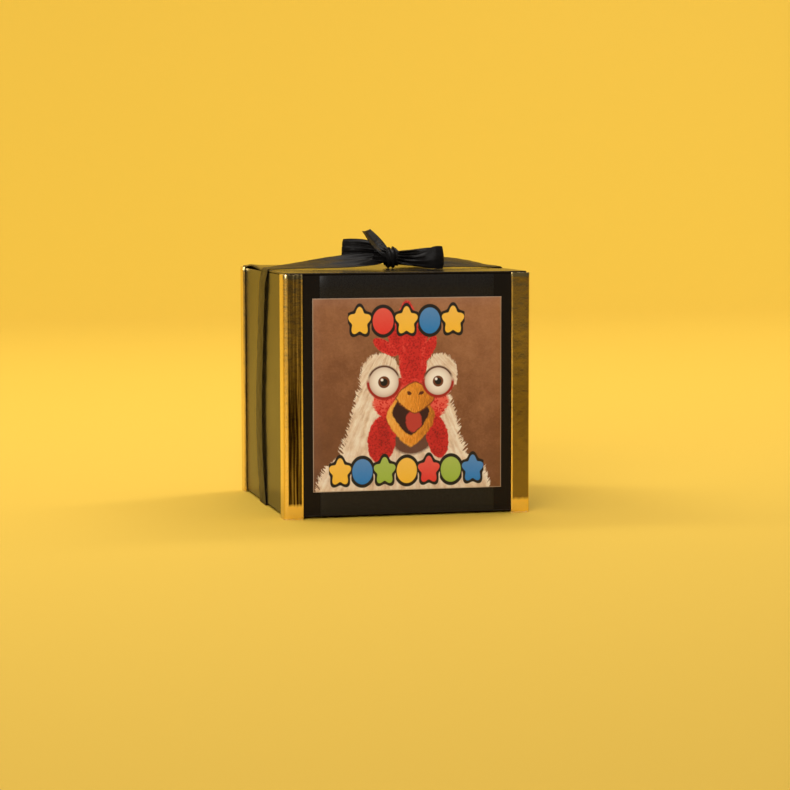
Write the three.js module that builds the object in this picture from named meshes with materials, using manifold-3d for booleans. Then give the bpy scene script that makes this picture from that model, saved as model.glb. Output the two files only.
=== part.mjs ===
import * as THREE from 'three';
import { mergeVertices } from 'three/addons/utils/BufferGeometryUtils.js';
import Module from 'manifold-3d';

const wasm = await Module();
wasm.setup();

// ---- driving dimensions, in millimetres ------------------------------------------------------
const BOX_SIDE = 166;             // over the corner trims, square in plan
const BOX_HEIGHT = 160.5;         // from the foot of the trims to the top of the lid
const TRIM_LEG = 12.8;
const TRIM_THICKNESS = 1.7;
const TRIM_CORNER_RADIUS = 2.4;
const TRIM_BELOW_LID = 0.7;       // the trims end just under the lid's top surface
const GAP = 0.3;                  // clearance wherever two pieces meet
const GLUE_LINE = 0.1;            // between faces that are glued together
const BOARD = 2;                  // thickness of the wall and base board
const PANEL_BOTTOM = 1.6;         // the panels stop short of the floor, the trims stand on it
const LID_THICKNESS = 1.2;
const LINER_THICKNESS = 1.9;
const LINER_CLEARANCE = 2;        // between the liner's edge and the walls
const PICTURE_SIDE_BORDER = 6.7;  // from the picture's edge to the trim beside it
const PICTURE_END_BORDER = 17;    // above and below the picture
const PICTURE_THICKNESS = 0.4;
const FILM_SIDE_BORDER = 11.7;
const FILM_THICKNESS = 0.3;
const HINGE_STRIP_DEPTH = 22;
const HINGE_STRIP_THICKNESS = 0.5;
const LEDGE_DEPTH = 9.2;
const LEDGE_HEIGHT = 9;
const MAGNET_X = 45;
const MAGNET_RADIUS = 4;
const MAGNET_HEIGHT = 2.5;
const PLATE_RADIUS = 6;
const PLATE_THICKNESS = 0.8;
const RIBBON_WIDTH = 22;
const RIBBON_THICKNESS = 0.6;
const RIBBON_STANDOFF = 1.1;      // from the wall to the inner face of a side strand
const RIBBON_Y = -9;              // where the ribbon crosses the lid
const STRAP_Y = 2.5;              // where it passes under the base
const KNOT = { x: 6.3, y: -9.5, height: 6.7 };    // the centre, its height above the lid
const KNOT_RADII = { x: 5, y: 7.4, z: 6.2 };
const SPRING_BOARD_SIDE = 120;
const SPRING_BOARD_THICKNESS = 3;
const SPRING_BOTTOM_RADIUS = 50;
const SPRING_TOP_RADIUS = 24;
const SPRING_REST_LENGTH = 15.6;
const SPRING_ACTIVE_TURNS = 5;
const WIRE_RADIUS = 0.9;
const WIRE_SIDES = 6;
const SPRING_STEPS = 112;         // sixteen to a turn
const COIL_END_SHIFT = 4;         // how far the flat turns' free ends stand off their neighbours
const STAPLE_WIRE = 0.9;
const STAPLE_WIDTH = 1.2;
const STAPLE_DEPTH = 1.6;         // how far the legs go into the board
const PLATFORM_THICKNESS = 3;
const SPIGOT_RADIUS = 27.5;
const SPIGOT_HEIGHT = 5;
const SQUEAKER_RADIUS = 9;
const RUBBER_WALL = 2.5;
const HEADROOM = 11;              // between the comb and the lid's liner with the spring pressed down

const HALF = BOX_SIDE / 2;
const WALL_OUT = HALF - TRIM_THICKNESS - GAP;     // outer faces of the walls
const WALL_IN = WALL_OUT - BOARD;
const LID_TOP = BOX_HEIGHT;
const LID_BOTTOM = LID_TOP - LID_THICKNESS;
const WALL_TOP = LID_BOTTOM - GAP;
const TRIM_HEIGHT = LID_TOP - TRIM_BELOW_LID;
const LINER_BOTTOM = LID_BOTTOM - GLUE_LINE - LINER_THICKNESS;
const PICTURE_WIDTH = 2 * (HALF - TRIM_LEG - PICTURE_SIDE_BORDER);
const PICTURE_HEIGHT = BOX_HEIGHT - 2 * PICTURE_END_BORDER;
const PICTURE_CENTRE_Z = BOX_HEIGHT / 2 + 0.45;
const FILM_WIDTH = 2 * (HALF - TRIM_LEG - FILM_SIDE_BORDER);
const BASE_TOP = PANEL_BOTTOM + BOARD;
const SPRING_BOARD_TOP = BASE_TOP + 2 * GLUE_LINE + SPRING_BOARD_THICKNESS;
const COIL_BOTTOM_Z = SPRING_BOARD_TOP + GAP / 2 + WIRE_RADIUS;
const COIL_TOP_Z = COIL_BOTTOM_Z + SPRING_REST_LENGTH;
const PLATFORM_BOTTOM = COIL_TOP_Z + WIRE_RADIUS + GAP + 0.2;
const PLATFORM_TOP = PLATFORM_BOTTOM + PLATFORM_THICKNESS;
const SPIGOT_TOP = PLATFORM_TOP + SPIGOT_HEIGHT;
const RIM_RADIUS = SPIGOT_RADIUS + 0.5;           // the rubber's opening, stretched over the spigot
const FIGURE_RADIUS = RIM_RADIUS + 8;             // the rubber's outer radius at its foot
const PLATFORM_RADIUS = FIGURE_RADIUS + 2;
const FIGURE_BOTTOM = PLATFORM_TOP + GAP;
const FIGURE_HEIGHT = LINER_BOTTOM - HEADROOM - FIGURE_BOTTOM;

// ---- finishes --------------------------------------------------------------------------------
const COLOURS = {
  board: [0x1d1a18, 0.35, 0], foil: [0xd9a521, 0.18, 1], print: [0x8f5a38, 0.4, 0],
  ribbon: [0x2b211c, 0.5, 0], grey_board: [0x8c8273, 0.9, 0], steel: [0xb4b6b8, 0.3, 1],
  magnet: [0x9aa0a4, 0.25, 1], plastic: [0xd8d4c4, 0.5, 0], rubber: [0xf1ead8, 0.45, 0],
};

function finish(name) {
  const [color, roughness, metalness] = COLOURS[name];
  return new THREE.MeshStandardMaterial({ color, roughness, metalness });
}

const assembly = new THREE.Group();
assembly.name = 'surprise_box';

function add(name, geometry, finishName) {
  const mesh = new THREE.Mesh(geometry, finish(finishName));
  mesh.name = name;
  assembly.add(mesh);
  return mesh;
}

// ---- small geometry helpers ------------------------------------------------------------------
/** A box given by its two opposite corners. */
function block(x0, y0, z0, x1, y1, z1) {
  const g = new THREE.BoxGeometry(x1 - x0, y1 - y0, z1 - z0);
  return g.translate((x0 + x1) / 2, (y0 + y1) / 2, (z0 + z1) / 2);
}

/** A cylinder standing on z0 at (x, y). */
function disc(x, y, z0, z1, radius, segments = 32) {
  const g = new THREE.CylinderGeometry(radius, radius, z1 - z0, segments);
  return g.rotateX(Math.PI / 2).translate(x, y, (z0 + z1) / 2);
}

/** A body of revolution about the z axis from [radius, z] pairs. */
function turned(profile, segments = 32) {
  const points = profile.map(([r, z]) => new THREE.Vector2(r, z));
  return new THREE.LatheGeometry(points, segments).rotateX(Math.PI / 2);
}

function solid(geometry) {
  const g = geometry.clone();
  g.deleteAttribute('normal');
  g.deleteAttribute('uv');
  const merged = mergeVertices(g, 1e-4);
  return new wasm.Manifold(new wasm.Mesh({
    numProp: 3,
    vertProperties: new Float32Array(merged.attributes.position.array),
    triVerts: new Uint32Array(merged.index.array),
  }));
}

function fromSolid(manifold) {
  const mesh = manifold.getMesh();
  const g = new THREE.BufferGeometry();
  g.setAttribute('position', new THREE.BufferAttribute(new Float32Array(mesh.vertProperties), 3));
  g.setIndex(new THREE.BufferAttribute(new Uint32Array(mesh.triVerts), 1));
  return g;
}

function cut(body, tools) {
  return fromSolid(tools.reduce((rest, tool) => rest.subtract(solid(tool)), solid(body)));
}

/**
 * A closed strip swept through stations [centre, width vector, normal]; the width vector carries
 * the strip's full width and the normal its thickness direction.
 */
function strip(stations, thickness = RIBBON_THICKNESS) {
  const positions = [];
  for (const [centre, width, normal] of stations) {
    const w = width.clone().multiplyScalar(0.5);
    const n = normal.clone().normalize().multiplyScalar(thickness / 2);
    for (const [a, b] of [[-1, -1], [1, -1], [1, 1], [-1, 1]]) {
      const p = centre.clone().addScaledVector(w, a).addScaledVector(n, b);
      positions.push(p.x, p.y, p.z);
    }
  }
  const index = [];
  for (let s = 0; s + 1 < stations.length; s++) {
    for (let k = 0; k < 4; k++) {
      const a = 4 * s + k, b = 4 * s + (k + 1) % 4;
      index.push(a, b, b + 4, a, b + 4, a + 4);
    }
  }
  const last = 4 * (stations.length - 1);
  index.push(0, 2, 1, 0, 3, 2, last, last + 1, last + 2, last, last + 2, last + 3);
  const g = new THREE.BufferGeometry();
  g.setAttribute('position', new THREE.BufferAttribute(new Float32Array(positions), 3));
  g.setIndex(index);
  const body = solid(g);
  return fromSolid(body.volume() > 0 ? body : solid(flipped(g)));
}

function flipped(geometry) {
  const g = geometry.clone();
  const index = Array.from(g.index.array);
  for (let i = 0; i < index.length; i += 3) [index[i + 1], index[i + 2]] = [index[i + 2], index[i + 1]];
  g.setIndex(index);
  return g;
}

/**
 * Ribbon stations from rows [x, y, z, width, wx, wy, wz]: smooth curves through the rows. The width
 * runs square to the path, or exactly as the rows give it when the strip is to end in a level cut.
 */
function ribbonStations(rows, count, square = true) {
  const path = new THREE.CatmullRomCurve3(rows.map((r) => new THREE.Vector3(r[0], r[1], r[2])), false,
    'centripetal');
  const stations = [];
  for (let i = 0; i <= count; i++) {
    const t = i / count;
    const at = t * (rows.length - 1);
    const k = Math.min(Math.floor(at), rows.length - 2);
    const f = at - k;
    const mix = (j) => rows[k][j] * (1 - f) + rows[k + 1][j] * f;
    const along = path.getTangent(t);
    const across = new THREE.Vector3(mix(4), mix(5), mix(6));
    if (square) across.addScaledVector(along, -across.dot(along));
    across.normalize();
    stations.push([path.getPoint(t), across.clone().multiplyScalar(mix(3)), across.clone().cross(along)]);
  }
  return stations;
}

// ---- the board box ---------------------------------------------------------------------------
function addBoard() {
  const w = WALL_OUT, i = WALL_IN, side = WALL_IN - GAP;
  add('base_panel', block(-side, -side, PANEL_BOTTOM, side, side, BASE_TOP), 'board');
  add('front_panel', block(-w, -w, PANEL_BOTTOM, w, -i, WALL_TOP), 'board');
  add('back_panel', block(-w, i, PANEL_BOTTOM, w, w, WALL_TOP), 'board');
  add('left_panel', block(-w, -side, PANEL_BOTTOM, -i, side, WALL_TOP), 'board');
  add('right_panel', block(i, -side, PANEL_BOTTOM, w, side, WALL_TOP), 'board');
}

function addCornerTrims() {
  const inner = WALL_OUT + GAP;                 // inner face of both legs
  const end = HALF - TRIM_LEG, r = TRIM_CORNER_RADIUS;
  const section = new THREE.Shape();
  section.moveTo(end, -HALF);
  section.lineTo(HALF - r, -HALF);
  section.absarc(HALF - r, -HALF + r, r, -Math.PI / 2, 0, false);
  section.lineTo(HALF, -end);
  section.lineTo(inner, -end);
  section.lineTo(inner, -inner);
  section.lineTo(end, -inner);
  section.closePath();
  const angles = { right_front: 0, right_back: 90, left_back: 180, left_front: 270 };
  for (const [corner, angle] of Object.entries(angles)) {
    const g = new THREE.ExtrudeGeometry(section, { depth: TRIM_HEIGHT, bevelEnabled: false, curveSegments: 5 });
    add(`corner_trim_${corner}`, g.rotateZ(THREE.MathUtils.degToRad(angle)), 'foil');
  }
}

function addFrontFace() {
  const film = WALL_OUT + GLUE_LINE / 2, picture = film + FILM_THICKNESS + GLUE_LINE / 2;
  add('front_film', block(-FILM_WIDTH / 2, -film - FILM_THICKNESS, PANEL_BOTTOM + GAP,
    FILM_WIDTH / 2, -film, WALL_TOP - GAP), 'board');
  const z = PICTURE_CENTRE_Z, half = PICTURE_HEIGHT / 2;
  add('front_picture', block(-PICTURE_WIDTH / 2, -picture - PICTURE_THICKNESS, z - half,
    PICTURE_WIDTH / 2, -picture, z + half), 'print');
}

function addHingeStrip() {
  const half = HALF - TRIM_LEG - 1.5, face = WALL_OUT + GLUE_LINE / 2;
  add('hinge_strip', block(-half, face, WALL_TOP - HINGE_STRIP_DEPTH,
    half, face + HINGE_STRIP_THICKNESS, LID_TOP - 2 * GAP), 'board');
}

// ---- closure: magnets in a ledge behind the front wall, steel plates under the lid -----------
const LEDGE_FRONT = -WALL_IN + 2 * GLUE_LINE;
const MAGNET_Y = LEDGE_FRONT + GAP + MAGNET_RADIUS + GAP;
const PLATE_Y = MAGNET_Y + 2;

function addClosure() {
  const top = LINER_BOTTOM - GAP - GLUE_LINE, pocketFloor = top - MAGNET_HEIGHT - GAP - GLUE_LINE;
  const half = Math.min(MAGNET_X + 25, WALL_IN - 5);
  const ledge = block(-half, LEDGE_FRONT, top - LEDGE_HEIGHT, half, LEDGE_FRONT + LEDGE_DEPTH, top);
  const pockets = [-MAGNET_X, MAGNET_X].map((x) => disc(x, MAGNET_Y, pocketFloor, top + 1,
    MAGNET_RADIUS + GAP));
  add('front_ledge', cut(ledge, pockets), 'grey_board');
  const magnet = pocketFloor + 2 * GLUE_LINE, plate = LINER_BOTTOM + GLUE_LINE;
  for (const [side, x] of [['left', -MAGNET_X], ['right', MAGNET_X]]) {
    add(`magnet_${side}`, disc(x, MAGNET_Y, magnet, magnet + MAGNET_HEIGHT, MAGNET_RADIUS), 'magnet');
    add(`lid_plate_${side}`, disc(x, PLATE_Y, plate, plate + PLATE_THICKNESS, PLATE_RADIUS), 'steel');
  }
}

function addLid() {
  add('lid_panel', block(-WALL_OUT, -WALL_OUT, LID_BOTTOM, WALL_OUT, WALL_OUT, LID_TOP), 'board');
  const half = WALL_IN - LINER_CLEARANCE;
  const liner = block(-half, -half, LINER_BOTTOM, half, half, LID_BOTTOM - GLUE_LINE);
  const pockets = [-MAGNET_X, MAGNET_X].map((x) => disc(x, PLATE_Y, LINER_BOTTOM - 1,
    LINER_BOTTOM + PLATE_THICKNESS + 2 * GLUE_LINE, PLATE_RADIUS + GAP));
  add('lid_liner', cut(liner, pockets), 'board');
}

// ---- ribbon ----------------------------------------------------------------------------------
const STRAND_X = WALL_OUT + RIBBON_STANDOFF + RIBBON_THICKNESS / 2;
const STRAP_Z = PANEL_BOTTOM / 2;
const ON_LID = LID_TOP + 0.25 + RIBBON_THICKNESS / 2;

function addRibbonOnBox() {
  // [share of the wall's height, y]: the left strand hangs a little slack, the right one is straighter
  const left = [[1, RIBBON_Y], [0.956, -5], [0.88, -1.5], [0.678, 5], [0.44, 11], [0.15, 7], [0, STRAP_Y]];
  const right = [[1, RIBBON_Y], [0.82, -7], [0.5, -3], [0.19, 1], [0, STRAP_Y]];
  for (const [side, sign, rows] of [['left', -1, left], ['right', 1, right]]) {
    const route = rows.map(([share, y]) => [sign * STRAND_X, y, STRAP_Z + share * (WALL_TOP - STRAP_Z),
      RIBBON_WIDTH, 0, 1, 0]);
    add(`side_strand_${side}`, strip(ribbonStations(route, 14, false)), 'ribbon');
  }
  const half = RIBBON_WIDTH / 2, reach = STRAND_X - RIBBON_THICKNESS / 2 - GAP, t = RIBBON_THICKNESS / 2;
  add('base_strap', block(-reach, STRAP_Y - half, STRAP_Z - t, reach, STRAP_Y + half, STRAP_Z + t), 'ribbon');
}

/**
 * A row of a strand on the lid: x, its middle's offset in y, how far its front edge stands off the
 * lid, the share of the full width that it opens to, and its slope from front to back.
 */
function strandRow([x, dy, lift, open, slope]) {
  const width = open * RIBBON_WIDTH;
  const rise = width / 2 * Math.sin(Math.atan(slope));
  return [x, RIBBON_Y + dy, LID_TOP + lift + rise, width, 0, 1, slope];
}

/** Four rows that take a strand from the side, round the lid's edge and flat onto the lid. */
function strandEnd(sign) {
  const flat = (x, z) => [sign * x, RIBBON_Y, z, RIBBON_WIDTH, 0, 1, 0];
  return [flat(STRAND_X, LID_BOTTOM + GLUE_LINE), flat(STRAND_X, LID_TOP - GLUE_LINE),
    flat(STRAND_X - 0.9, ON_LID), strandRow([sign * (STRAND_X - 6), 0, 0.8, 1, 0.03])];
}

function addRibbonOnLid() {
  const near = KNOT.x - KNOT_RADII.x - 0.7, far = KNOT.x + KNOT_RADII.x + 0.6;
  const span = (share) => share * STRAND_X;
  const left = [[span(-0.69), 0, 1, 1, 0.15], [span(-0.4), -0.5, 1, 1, 0.33], [-16, -1, 1.1, 0.95, 0.44],
    [-6, -1, 2.6, 0.73, 0.45], [near, -0.7, 4.9, 0.36, 0.4]];
  const right = [[far, 2, 2.9, 0.27, 0.3], [20, 1.5, 1.1, 0.64, 0.35], [30, 0.5, 0.9, 0.91, 0.33],
    [span(0.51), 0, 0.8, 1, 0.3], [span(0.655), 0, 0.8, 1, 0.24], [span(0.825), 0, 0.8, 1, 0.12]];
  const wholeLeft = [...strandEnd(-1), ...left.map(strandRow)];
  const wholeRight = [...right.map(strandRow), ...strandEnd(1).reverse()];
  add('lid_strand_left', strip(ribbonStations(wholeLeft, 24)), 'ribbon');
  add('lid_strand_right', strip(ribbonStations(wholeRight, 26)), 'ribbon');
}

/** A row with its third number turned from a height above the lid into a z. */
function aboveLid([x, y, height, ...rest]) {
  return [x, y, LID_TOP + height, ...rest];
}

/** A loop's row [x, y, height, width] with the ribbon on edge. */
function upright([x, y, height, width]) {
  return aboveLid([x, y, height, width, 0, 0.05, 1]);
}

function addBow() {
  const knot = new THREE.IcosahedronGeometry(1, 2).scale(KNOT_RADII.x, KNOT_RADII.y, KNOT_RADII.z);
  add('bow_knot', knot.translate(KNOT.x, KNOT.y, LID_TOP + KNOT.height), 'ribbon');
  // the loops stand behind and in front of the flat strands, whose edges they keep clear of
  const behind = RIBBON_WIDTH / 2 - 11, ahead = -behind;
  const leftLoop = [
    [0.5, -5.2 + behind / 2, 11.5, 6], [-7, 1.5 + behind, 12, 11], [-14.4, 4.8 + behind, 12.2, 13.8],
    [-20.4, 6.2 + behind, 12.2, 14.2], [-23.9, 9.6 + behind, 12.2, 14.2], [-21.4, 13.4 + behind, 12.2, 14.2],
    [-15, 13.8 + behind, 12.2, 13.8], [-7, 9 + behind, 12.1, 11], [0.8, -1, 11.8, 6],
  ];
  const rightLoop = [
    [11.9, -15, 6.3, 6.2], [15, -24 + ahead, 6.6, 8.4], [20, -30.4 + ahead, 7, 10.6],
    [27, -35 + ahead, 7.6, 13.4], [31.5, -36.2 + ahead, 7.7, 14], [35.6, -34 + ahead, 7.7, 14],
    [33, -30.8 + ahead, 7.7, 13.6], [26, -26.8 + ahead, 7.9, 12], [18.4, -20.2 + ahead, 8.3, 9.5],
    [11.9, -10.5, 9.3, 5.8],
  ];
  add('bow_loop_left', strip(ribbonStations(leftLoop.map(upright), 26)), 'ribbon');
  add('bow_loop_right', strip(ribbonStations(rightLoop.map(upright), 26)), 'ribbon');
  const upperTail = [
    [2.6, -10.5, 14, 10, 0.5, 0.83, 0.2], [-1.6, -10, 16.4, 15, 0.52, 0.83, 0.2],
    [-6.5, -9.3, 20.6, 17, 0.51, 0.84, 0.18], [-11.2, -8.6, 25.6, 16, 0.49, 0.87, 0.08],
  ];
  const rearTail = [
    [10.6, 0.2, 8.1, 8, 0.7, -0.4, 0.5], [17, 7.5 + behind, 5.5, 14, 0.75, -0.6, 0.35],
    [26, 14 + behind, 3.1, 20, 0.6, -0.8, 0.15], [37, 20 + behind, 1.6, RIBBON_WIDTH, 0.5, -0.86, 0.04],
    [50, 27 + behind, 1, RIBBON_WIDTH, 0.5, -0.86, 0],
  ];
  add('bow_tail_upper', strip(ribbonStations(upperTail.map(aboveLid), 8)), 'ribbon');
  add('bow_tail_rear', strip(ribbonStations(rearTail.map(aboveLid), 12)), 'ribbon');
}

// ---- pop-up mechanism ------------------------------------------------------------------------
const STAPLE_INSIDE = WIRE_RADIUS + 0.35;         // from the coil's centre line to a leg

/** A wire staple astride a flat coil: crown across the wire, two legs into the board. */
function staple(radius, angle, boardFace, towards) {
  const near = STAPLE_INSIDE, far = near + STAPLE_WIRE;
  const clear = 2 * WIRE_RADIUS + GAP + 0.2;
  const outline = new THREE.Shape();
  outline.moveTo(-far, -STAPLE_DEPTH);
  outline.lineTo(-near, -STAPLE_DEPTH);
  outline.lineTo(-near, clear);
  outline.lineTo(near, clear);
  outline.lineTo(near, -STAPLE_DEPTH);
  outline.lineTo(far, -STAPLE_DEPTH);
  outline.lineTo(far, clear + STAPLE_WIRE);
  outline.lineTo(-far, clear + STAPLE_WIRE);
  outline.closePath();
  const g = new THREE.ExtrudeGeometry(outline, { depth: STAPLE_WIDTH, bevelEnabled: false });
  g.translate(0, 0, -STAPLE_WIDTH / 2).rotateX(Math.PI / 2);
  if (towards < 0) g.rotateX(Math.PI);
  return g.translate(radius, 0, boardFace).rotateZ(angle);
}

/** The two slots a staple's legs go into. */
function stapleSlots(radius, angle, boardFace, towards) {
  const near = STAPLE_INSIDE - GAP / 2, far = STAPLE_INSIDE + STAPLE_WIRE + GAP / 2;
  const half = (STAPLE_WIDTH + GAP) / 2;
  return [[-far, -near], [near, far]].map(([a, b]) => {
    const z = [boardFace - (STAPLE_DEPTH + 0.2) * towards, boardFace + towards].sort((p, q) => p - q);
    return block(radius + a, -half, z[0], radius + b, half, z[1]).rotateZ(angle);
  });
}

const STAPLE_ANGLES = [Math.PI / 4, Math.PI * 7 / 8, Math.PI * 3 / 2];

class ConicalSpring extends THREE.Curve {
  /** Flat first and last turns with the active turns narrowing between them. */
  getPoint(t) {
    const turns = SPRING_ACTIVE_TURNS + 2;
    const turn = t * turns;
    const f = THREE.MathUtils.clamp((turn - 1) / SPRING_ACTIVE_TURNS, 0, 1);
    const radius = SPRING_BOTTOM_RADIUS + (SPRING_TOP_RADIUS - SPRING_BOTTOM_RADIUS) * f
      + this.endShift(turn, turns);
    const angle = 2 * Math.PI * turn;
    return new THREE.Vector3(radius * Math.cos(angle), radius * Math.sin(angle),
      COIL_BOTTOM_Z + SPRING_REST_LENGTH * f);
  }

  /** Equal angles between the tube's rings, whatever the turn's radius. */
  getUtoTmapping(u) {
    return u;
  }

  /** Moves the free ends of the flat turns off the neighbouring turn. */
  endShift(turn, turns) {
    if (turn < 1) return COIL_END_SHIFT * (1 - turn);
    if (turn > turns - 1) return -COIL_END_SHIFT * (turn - (turns - 1));
    return 0;
  }
}

/** Radius of the flat bottom or top turn at an angle. */
function coilRadius(angle, top) {
  const turn = angle / (2 * Math.PI);
  return top ? SPRING_TOP_RADIUS - COIL_END_SHIFT * turn : SPRING_BOTTOM_RADIUS + COIL_END_SHIFT * (1 - turn);
}

function addSpring() {
  const slots = STAPLE_ANGLES.flatMap((a) => stapleSlots(coilRadius(a, false), a, SPRING_BOARD_TOP, 1));
  const half = SPRING_BOARD_SIDE / 2;
  const board = block(-half, -half, BASE_TOP + 2 * GLUE_LINE, half, half, SPRING_BOARD_TOP);
  add('spring_board', cut(board, slots), 'grey_board');
  STAPLE_ANGLES.forEach((a, i) => {
    add(`base_staple_${i + 1}`, staple(coilRadius(a, false), a, SPRING_BOARD_TOP, 1), 'steel');
  });
  const section = new THREE.Shape(new THREE.EllipseCurve(0, 0, WIRE_RADIUS, WIRE_RADIUS).getPoints(WIRE_SIDES));
  const wire = new THREE.ExtrudeGeometry(section, { extrudePath: new ConicalSpring(), steps: SPRING_STEPS });
  add('pop_spring', wire, 'steel');
}

function addPlatform() {
  const plate = turned([[0, PLATFORM_BOTTOM], [PLATFORM_RADIUS, PLATFORM_BOTTOM],
    [PLATFORM_RADIUS, PLATFORM_TOP], [SPIGOT_RADIUS, PLATFORM_TOP], [SPIGOT_RADIUS, SPIGOT_TOP],
    [0, SPIGOT_TOP]], 40);
  const slots = STAPLE_ANGLES.flatMap((a) => stapleSlots(coilRadius(a, true), a, PLATFORM_BOTTOM, -1));
  const vent = disc(0, 0, PLATFORM_BOTTOM - 1, SPIGOT_TOP + 1, SQUEAKER_RADIUS + GAP, 24);
  add('lift_platform', cut(plate, [...slots, vent]), 'plastic');
  STAPLE_ANGLES.forEach((a, i) => {
    add(`platform_staple_${i + 1}`, staple(coilRadius(a, true), a, PLATFORM_BOTTOM, -1), 'steel');
  });
}

function addSqueaker() {
  const z = SPIGOT_TOP + GLUE_LINE, r = SQUEAKER_RADIUS, seat = r - 2;
  add('squeaker_body', turned([[r - 5, z - 7], [r, z - 7], [r, z], [r + 4, z], [r + 4, z + 1.6],
    [seat, z + 1.6], [seat, z - 2], [r - 5, z - 2], [r - 5, z - 7]], 24), 'plastic');
  add('squeaker_reed', disc(0, 0, z - 1.9, z - 1.3, seat - GAP, 24), 'steel');
}

// ---- rooster: one hollow rubber moulding open at the base ------------------------------------
function ellipsoid(rx, ry, rz, x, y, z, tilt = 0) {
  return new THREE.SphereGeometry(1, 14, 9).scale(rx, ry, rz).rotateX(tilt).translate(x, y, z);
}

/** Five rounded points along the crown, the tallest in the middle; z is where the crown lies. */
function combGeometry(z) {
  const outline = new THREE.Shape();
  const tips = [[-17, 5], [-9.5, 11.5], [-1, 14.5], [8, 12], [15.5, 7]];
  outline.moveTo(-20, -8);
  tips.forEach(([y, top], i) => {
    outline.quadraticCurveTo(y - 4.5, top, y, top);
    outline.quadraticCurveTo(y + 4.2, top, y + 4.6, i < 4 ? top - 7 : -8);
  });
  outline.lineTo(18, -12);
  outline.closePath();
  const g = new THREE.ExtrudeGeometry(outline, { depth: 6, bevelEnabled: false, curveSegments: 3 });
  return g.translate(0, 0, -3).rotateX(Math.PI / 2).rotateZ(Math.PI / 2).translate(0, 0, z);
}

/** One half of the beak: a cone pointing forward that droops towards its tip. */
function beakGeometry(length, width, height, droop, z) {
  const g = new THREE.ConeGeometry(1, length, 12, 4).rotateX(Math.PI);
  g.scale(width, 1, height).translate(0, -length / 2, 0);
  const p = g.attributes.position;
  for (let i = 0; i < p.count; i++) {
    const s = -p.getY(i) / length;
    p.setZ(i, p.getZ(i) + droop * s * s);
  }
  return g.translate(0, -17, z);
}

const COMB_HEIGHT = 14.5;

function addRooster() {
  // the bust's outline as [radius, height] over a 118 mm figure, stretched to the room there is
  const stretch = FIGURE_HEIGHT / 118;
  const outer = [[FIGURE_RADIUS, 0], [FIGURE_RADIUS + 0.5, 6], [FIGURE_RADIUS - 2, 18], [29, 32], [24.5, 46],
    [22.5, 58], [23.5, 70], [25, 80], [24, 90], [19.5, 98], [12, 103.2], [0, 105]];
  const shell = outer.slice(2).map(([r, h]) => [Math.max(r - RUBBER_WALL, 0), h - (h > 90 ? RUBBER_WALL : 0)]);
  const standing = ([r, h]) => [r, FIGURE_BOTTOM + h * stretch];
  const full = turned([[0, 0], ...outer].map(standing), 36);
  const rimTop = (SPIGOT_HEIGHT + 2 * GAP) / stretch;
  const hollow = turned([[0, -1], [RIM_RADIUS, -1], [RIM_RADIUS, rimTop], ...shell].map(standing), 28);
  const at = (h) => FIGURE_BOTTOM + h * stretch;
  const features = [
    combGeometry(FIGURE_BOTTOM + FIGURE_HEIGHT - COMB_HEIGHT),
    beakGeometry(28, 10.5, 8, -3, at(83)),
    beakGeometry(21, 9, 5.5, -7, at(72)),
    ellipsoid(7, 4.5, 13, -9, -24.5, at(55), -0.12),
    ellipsoid(7, 4.5, 13, 9, -24.5, at(55), -0.12),
    ellipsoid(6.5, 4, 7, -12, -20, at(88.5), 0.2),
    ellipsoid(6.5, 4, 7, 12, -20, at(88.5), 0.2),
  ];
  const body = features.reduce((sum, feature) => sum.add(solid(feature)), solid(full));
  add('rooster_body', fromSolid(body.subtract(solid(hollow))), 'rubber');
}

addBoard();
addCornerTrims();
addFrontFace();
addHingeStrip();
addClosure();
addLid();
addRibbonOnBox();
addRibbonOnLid();
addBow();
addSpring();
addPlatform();
addSqueaker();
addRooster();

export default assembly;
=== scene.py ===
"""A magic-shop surprise box: ribbon-tied board box with a rubber rooster that springs up from it."""

from __future__ import annotations

import logging
import math
from dataclasses import dataclass
from enum import Enum
from typing import Iterable, Sequence

import bpy
import numpy as np
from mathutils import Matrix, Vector


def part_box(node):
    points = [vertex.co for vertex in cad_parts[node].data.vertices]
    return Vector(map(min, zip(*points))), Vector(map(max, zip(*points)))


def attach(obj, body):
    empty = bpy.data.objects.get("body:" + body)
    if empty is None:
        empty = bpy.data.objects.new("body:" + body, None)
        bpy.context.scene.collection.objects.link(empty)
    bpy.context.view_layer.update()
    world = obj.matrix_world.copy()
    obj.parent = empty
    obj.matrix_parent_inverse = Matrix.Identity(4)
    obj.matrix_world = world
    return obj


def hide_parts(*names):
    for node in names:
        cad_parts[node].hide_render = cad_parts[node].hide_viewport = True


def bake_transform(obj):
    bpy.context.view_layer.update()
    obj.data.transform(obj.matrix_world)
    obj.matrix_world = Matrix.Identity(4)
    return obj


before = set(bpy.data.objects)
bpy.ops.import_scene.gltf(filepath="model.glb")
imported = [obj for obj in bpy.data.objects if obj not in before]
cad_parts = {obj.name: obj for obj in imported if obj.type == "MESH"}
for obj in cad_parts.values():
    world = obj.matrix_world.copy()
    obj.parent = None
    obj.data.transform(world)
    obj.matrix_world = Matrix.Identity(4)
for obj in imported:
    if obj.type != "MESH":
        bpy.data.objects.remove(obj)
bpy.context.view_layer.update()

log = logging.getLogger("surprise_box")

MM = 0.001
RIBBON_WIDTH = 22.0
TRACK_STEPS = 400
Colour = tuple[float, float, float]
Row = Sequence[float]


class Body(Enum):
    """The three bodies that pieces ride on."""

    BOX = "box"
    LID = "lid"
    ROOSTER = "rooster"


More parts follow.
